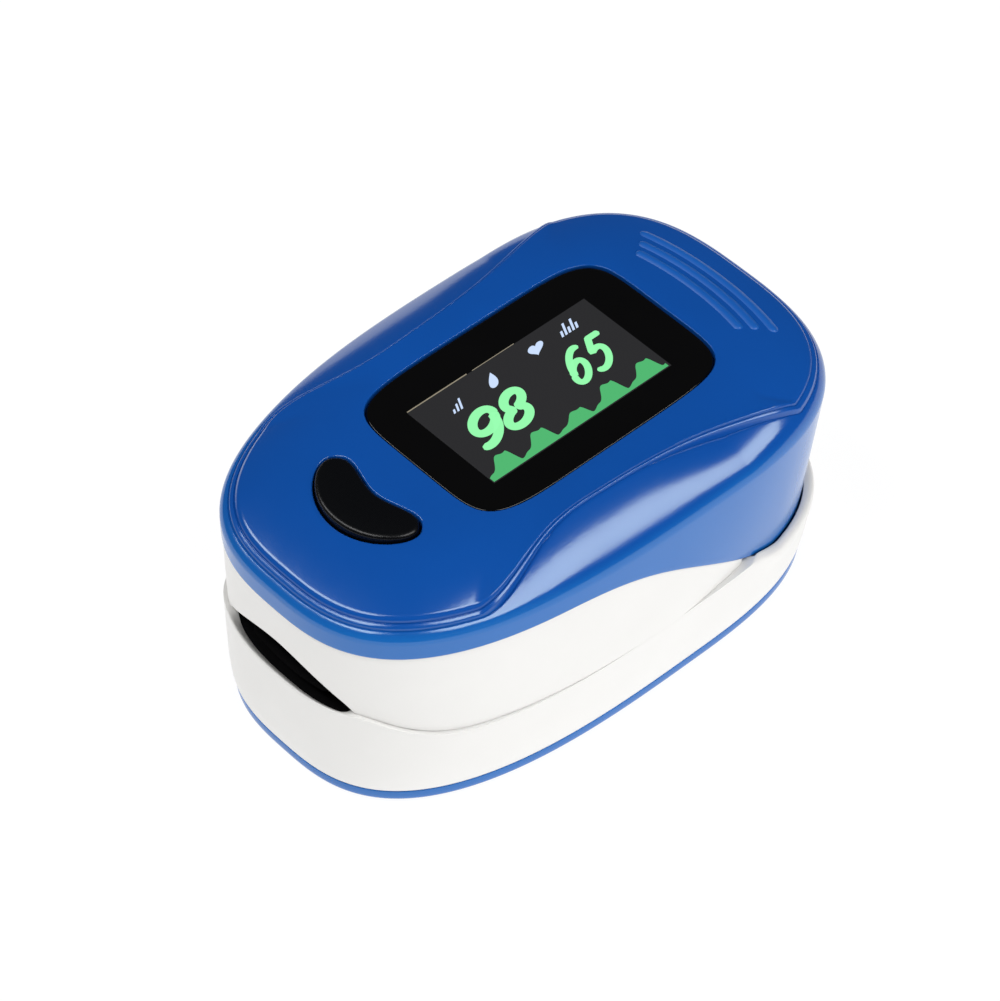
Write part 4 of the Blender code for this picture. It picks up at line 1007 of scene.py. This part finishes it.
def screen_wave(material):
    """A pulse wave along the display's lower edge: a slow rise, a small second swell and a quick fall, repeated,
    each beat a little different in height.
    """
    y = np.linspace(SCREEN_LOW[1] + 0.1, SCREEN_HIGH[1] - 0.25, 220)
    beat = (y - y[0]) / 4.55 + 0.12
    phase = beat % 1.0
    tall = 1.75 + 0.4 * np.sin(2.1 * np.floor(beat) + 0.7)
    rise = smooth(phase / 0.72) * 0.86 + 0.14 * smooth((phase - 0.45) / 0.2)
    swell = 0.09 * np.sin(phase * 14.0) * smooth(phase / 0.3)
    height = 0.4 + tall * (rise + swell) * (1.0 - smooth((phase - 0.86) / 0.14))
    foot = SCREEN_HIGH[0] - 0.12
    top = np.stack([foot - height, y], axis=1)
    base = np.stack([np.full(2, foot), y[[-1, 0]]], axis=1)
    skin = Skin()
    numbers = skin.place(plate(np.concatenate([top, base]), SCREEN_Z - 0.01, SIGN_Z))
    skin.loft(numbers)
    skin.cap(numbers[0], False)
    skin.cap(numbers[1], True)
    piece("screen_wave", skin.mesh("screen_wave"), material, "upper_jaw", sharp=30.0)


def screen_signs(material):
    """Small plain signs above the numbers: bars, a drop, a heart and a filled bar, each one outline by formula."""
    t = np.linspace(0.0, 2 * math.pi, 72, endpoint=False)
    drop = np.stack([0.5 + 0.42 * np.sin(t) * np.sin(t / 2) ** 1.2, 0.62 + 0.62 * np.cos(t)], axis=1)
    lobes = 13 * np.cos(t) - 5 * np.cos(2 * t) - 2 * np.cos(3 * t) - np.cos(4 * t)
    heart = np.stack([0.5 + 0.5 * np.sin(t) ** 3, 0.68 + lobes / 27.0], axis=1)
    bar = np.array(((0.0, 0.0), (0.16, 0.0), (0.16, 1.0), (0.0, 1.0)))
    signs = [(bar * (1.0, 0.35 + 0.3 * k) + (0.3 * k, 0.0), (-2.75, -5.3), 1.5, 1.35) for k in range(3)]
    signs += [(drop, (-2.75, -0.9), 1.75, 1.45), (heart, (-3.05, 4.9), 1.95, 1.3)]
    signs += [(bar * (1.0, 0.5 + 0.5 * (k % 2)) + (0.27 * k, 0.0), (-3.35, 9.2), 1.75, 1.4) for k in range(5)]
    skin = Skin()
    for outline, corner, width, height in signs:
        numbers = skin.place(plate(on_screen(outline, corner, width, height), SCREEN_Z - 0.01, SIGN_Z))
        skin.loft(numbers)
        skin.cap(numbers[0], False)
        skin.cap(numbers[1], True)
    piece("screen_signs", skin.mesh("screen_signs"), material, "upper_jaw", sharp=30.0)


def screen(face, edge):
    """The dark lit area under the numbers, and the two bright lines of the panel's own edge."""
    plan = np.array((SCREEN_LOW, (SCREEN_HIGH[0], SCREEN_LOW[1]), SCREEN_HIGH, (SCREEN_LOW[0], SCREEN_HIGH[1])))
    mesh = solid([raised(plan, WINDOW_TOP_Z - 0.02), raised(plan, SCREEN_Z)], "screen_face")
    piece("screen_face", mesh, face, "upper_jaw", sharp=30.0)
    skin = Skin()
    for start, stop, width in ((-8.45, -0.9, 0.13), (-0.2, 5.2, 0.08)):
        x = SCREEN_LOW[0]
        line = np.array(((x - width, start), (x, start), (x, stop), (x - width, stop)))
        numbers = skin.place([raised(line, WINDOW_TOP_Z - 0.02), raised(line, SCREEN_Z)])
        skin.loft(numbers)
        skin.cap(numbers[0], False)
        skin.cap(numbers[1], True)
    piece("screen_edge", skin.mesh("screen_edge"), edge, "upper_jaw", sharp=30.0)


def finger_pad(name, node, body, front, rear, widest, top, bottom, material):
    """A soft pad: a top and a bottom height over a plan that is narrow in the round mouth, both grids joined at a
    rounded border where they ease to one middle height, with a round hole for the light.
    """
    v, u = np.meshgrid(np.linspace(0.0, 1.0, 90), np.linspace(-1.0, 1.0, 61), indexing="ij")
    y = front + (rear - front) * v
    x = u * np.minimum(widest, 5.0 + 1.05 * (y - front))
    inside = np.minimum(np.minimum(1.0 - np.abs(u), 0.06) / 0.06, np.minimum(np.minimum(v, 1 - v), 0.03) / 0.03)
    swell = np.sqrt(np.clip(1.0 - (1.0 - inside) ** 2, 0.0, 1.0))
    middle, half = (top(x) + bottom(x)) / 2, (top(x) - bottom(x)) / 2
    upper = np.stack([x, y, middle + half * swell], axis=-1)
    lower = np.stack([x, y, middle - half * swell], axis=-1)
    skin = Skin()
    above = skin.place(upper)
    below = skin.place(lower[1:-1, 1:-1])
    under = above.copy()
    under[1:-1, 1:-1] = below
    for numbers, flip in ((above, False), (under, True)):
        corners = np.stack([numbers[:-1, :-1], numbers[:-1, 1:], numbers[1:, 1:], numbers[1:, :-1]], axis=-1)
        corners = corners.reshape(-1, 4)
        skin.faces += (corners[:, ::-1] if flip else corners).tolist()
    mesh = shaped(skin.mesh(name), [], [post(0.0, SENSOR_Y, 8.0, 22.0, 2.4)])
    pad = piece(name, mesh, material, body, [node])


def finger_pads(material):
    """The floor and the roof of the finger channel: parabolas across X of equal curve."""

    def floor(x):
        return 12.1 + 0.034 * x**2

    def roof(x):
        return 17.9 - 0.034 * np.minimum(np.abs(x), 9.0) ** 2

    def underside(x):
        return floor(x) - 0.6

    def ceiling(x):
        return np.full_like(x, ROOF_Z - GAP)

    finger_pad("lower_pad", "lower_finger_pad", "lower_jaw", -29.0, 10.2, 9.0, floor, underside, material)
    finger_pad("upper_pad", "upper_finger_pad", "upper_jaw", -27.2, 9.8, 12.2, ceiling, roof, material)


def dress_nodes(finishes):
    """Gives the CAD nodes that stay in view their own finishes."""
    for material, names in finishes:
        for name in names:
            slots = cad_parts[name].data.materials
            slots.clear()
            slots.append(material)


def camera():
    """The camera of the photograph's view."""
    a, e = CAMERA_AZIMUTH, CAMERA_ELEVATION
    right = np.array((math.cos(a), math.sin(a), 0.0))
    back = np.array((math.sin(a) * math.cos(e), -math.cos(a) * math.cos(e), math.sin(e)))
    up = np.cross(back, right)
    data = bpy.data.cameras.new("camera")
    data.sensor_width = 36.0
    data.lens = CAMERA_LENS
    data.clip_start = 0.01
    obj = bpy.data.objects.new("camera", data)
    turn = Matrix(np.stack([right, up, back], axis=1).tolist()).to_4x4()
    obj.matrix_world = Matrix.Translation(((CAMERA_TARGET + back * CAMERA_DISTANCE) * MM).tolist()) @ turn
    bpy.context.scene.collection.objects.link(obj)
    bpy.context.scene.camera = obj


def softbox(name, place, size, watts, facing_down=True):
    """A flat lamp of a length along X and along Y that faces straight down or towards the object, without a mirror
    image of its own in the object when it faces it.
    """
    data = bpy.data.lights.new(name, "AREA")
    data.shape = "RECTANGLE"
    data.size, data.size_y = size
    data.energy = watts
    obj = bpy.data.objects.new(name, data)
    obj.location = place
    if not facing_down:
        obj.rotation_euler = Vector(place).to_track_quat("Z", "Y").to_euler()
    obj.visible_glossy = facing_down
    obj.visible_camera = False
    bpy.context.scene.collection.objects.link(obj)


def studio():
    """A pale floor that is white to the camera and in reflections, two strips overhead, a fill from the right and
    a surround that is dim except to the camera.
    """
    material, start = new_finish("pale_floor")
    path = start.add("ShaderNodeLightPath", out="Is Camera Ray")
    glossy = Socket(start.tree, path.socket.node.outputs["Is Glossy Ray"])
    through = Socket(start.tree, path.socket.node.outputs["Is Transmission Ray"])
    seen = start.math("MINIMUM", path + glossy + through, 1.0)
    paint = start.add("ShaderNodeBsdfDiffuse", inputs={"Color": rgb(0.85, 0.85, 0.85)})
    glow = start.add("ShaderNodeEmission", inputs={"Color": rgb(1.0, 1.0, 1.0), "Strength": 1.5 - seen * 0.44})
    mixed = start.add("ShaderNodeMixShader", inputs={0: 0.88, 1: paint, 2: glow})
    start.add("ShaderNodeOutputMaterial", inputs={"Surface": mixed})
    mesh = bpy.data.meshes.new("floor")
    half = 0.5
    corners = [(-half, -half, 0.0), (half, -half, 0.0), (half, half, 0.0), (-half, half, 0.0)]
    mesh.from_pydata(corners, [], [(0, 1, 2, 3)])
    mesh.materials.append(material)
    floor = bpy.data.objects.new("floor", mesh)
    bpy.context.scene.collection.objects.link(floor)
    softbox("strip_left", (-0.46, -0.4, 0.82), (1.24, 0.25), 7.5)
    softbox("strip_right", (0.436, 0.28, 0.82), (0.264, 0.8), 5.1)
    softbox("fill_right", (0.8, -0.1, 0.25), (0.5, 0.5), 2.5, facing_down=False)
    world = bpy.data.worlds.new("surround")
    world.use_nodes = True
    world.node_tree.nodes.clear()
    start = Socket(world.node_tree)
    seen = start.add("ShaderNodeLightPath", out="Is Camera Ray")
    sky = start.add("ShaderNodeBackground", inputs={"Color": rgb(1.0, 1.0, 1.0), "Strength": seen * 0.96 + 0.04})
    start.add("ShaderNodeOutputWorld", inputs={"Surface": sky})
    bpy.context.scene.world = world
    bpy.context.scene.view_settings.view_transform = "Standard"


def build():
    blue = glossy_blue("glossy_blue_plastic")
    # The ribs' blue is painted lighter than the cover's: a painted highlight for the lit tops of the ribs.
    rib_blue = moulded("painted_light_ribs", (0.006, 0.1, 0.43), (0.008, 0.115, 0.47), 0.36, 0.004)
    white = moulded("white_plastic", (0.745, 0.738, 0.72), (0.79, 0.783, 0.766), 0.36, 0.005, 0.08)
    satin = grained_black("satin_black", (0.0014, 0.0017, 0.0024), (0.0024, 0.0027, 0.0036), 0.27, 0.12, 0.004, 0.3)
    rubber = grained_black("pad_rubber", (0.001, 0.001, 0.0012), (0.0022, 0.0022, 0.0026), 0.75, 0.25, 0.03, 0.05)
    chip = grained_black("chip_resin", (0.012, 0.012, 0.013), (0.022, 0.022, 0.023), 0.5, 0.1, 0.01)
    window = polished_window("polished_black_window")
    screen_dark = lit_screen("screen_dark", (0.021, 0.021, 0.023), (0.025, 0.025, 0.027), 1.0)
    screen_green = lit_screen("screen_green", (0.28, 0.94, 0.4), (0.34, 1.0, 0.46), 1.0)
    wave_green = lit_screen("wave_green", (0.075, 0.46, 0.155), (0.09, 0.5, 0.18), 1.0)
    sign_blue = lit_screen("sign_blue", (0.52, 0.68, 1.0), (0.7, 0.82, 1.0), 1.0)
    edge_light = lit_screen("screen_edge_light", (0.26, 0.23, 0.16), (0.36, 0.32, 0.24), 1.0)
    steel = brushed_steel("steel", (0.52, 0.52, 0.54), (0.62, 0.62, 0.63), 0.22)
    spring = brushed_steel("spring_steel", (0.6, 0.59, 0.57), (0.7, 0.69, 0.67), 0.18)
    board = green_board("circuit_board")
    film = amber_film("amber_flex")
    wrap = cell_wrap("cell_jacket")
    lens = red_lens("clear_lens")

    top_cover(blue)
    grip_ribs(rib_blue)
    upper_housing(white)
    lower_housing(white)
    # The door lies wholly below the blue's height fade, so its whole blue is the paler copy that is painted light.
    battery_door(blue)
    power_button(satin)
    display_window(window)
    screen(screen_dark, edge_light)
    screen_numbers(screen_green)
    screen_wave(wave_green)
    screen_signs(sign_blue)
    finger_pads(rubber)
    mouth_lining(rubber)
    screw_names = [f"{kind}_screw_{number}" for kind in ("cover", "frame") for number in (1, 2, 3, 4)]
    dress_nodes((
        (white, ("battery_frame",)),
        (window, ("display_panel",)),
        (satin, ("display_holder", "tact_switch", "sensor_connector")),
        (chip, ("processor_chip", "display_driver_chip", "sensor_amplifier_chip")),
        (chip, ("beeper", "light_emitter", "photodiode")),
        (steel, ("hinge_pin", "switch_plunger", "clock_crystal", *screw_names)),
        (spring, ("torsion_spring", "contact_spring_left", "contact_spring_right", "front_contact")),
        (spring, ("rear_contact_left", "rear_contact_right")),
        (board, ("main_board", "sensor_board")),
        (film, ("emitter_flex", "sensor_flex", "jaw_flex")),
        (wrap, ("cell_left", "cell_right")),
        (lens, ("light_window", "sensor_window")),
    ))
    studio()
    camera()


build()
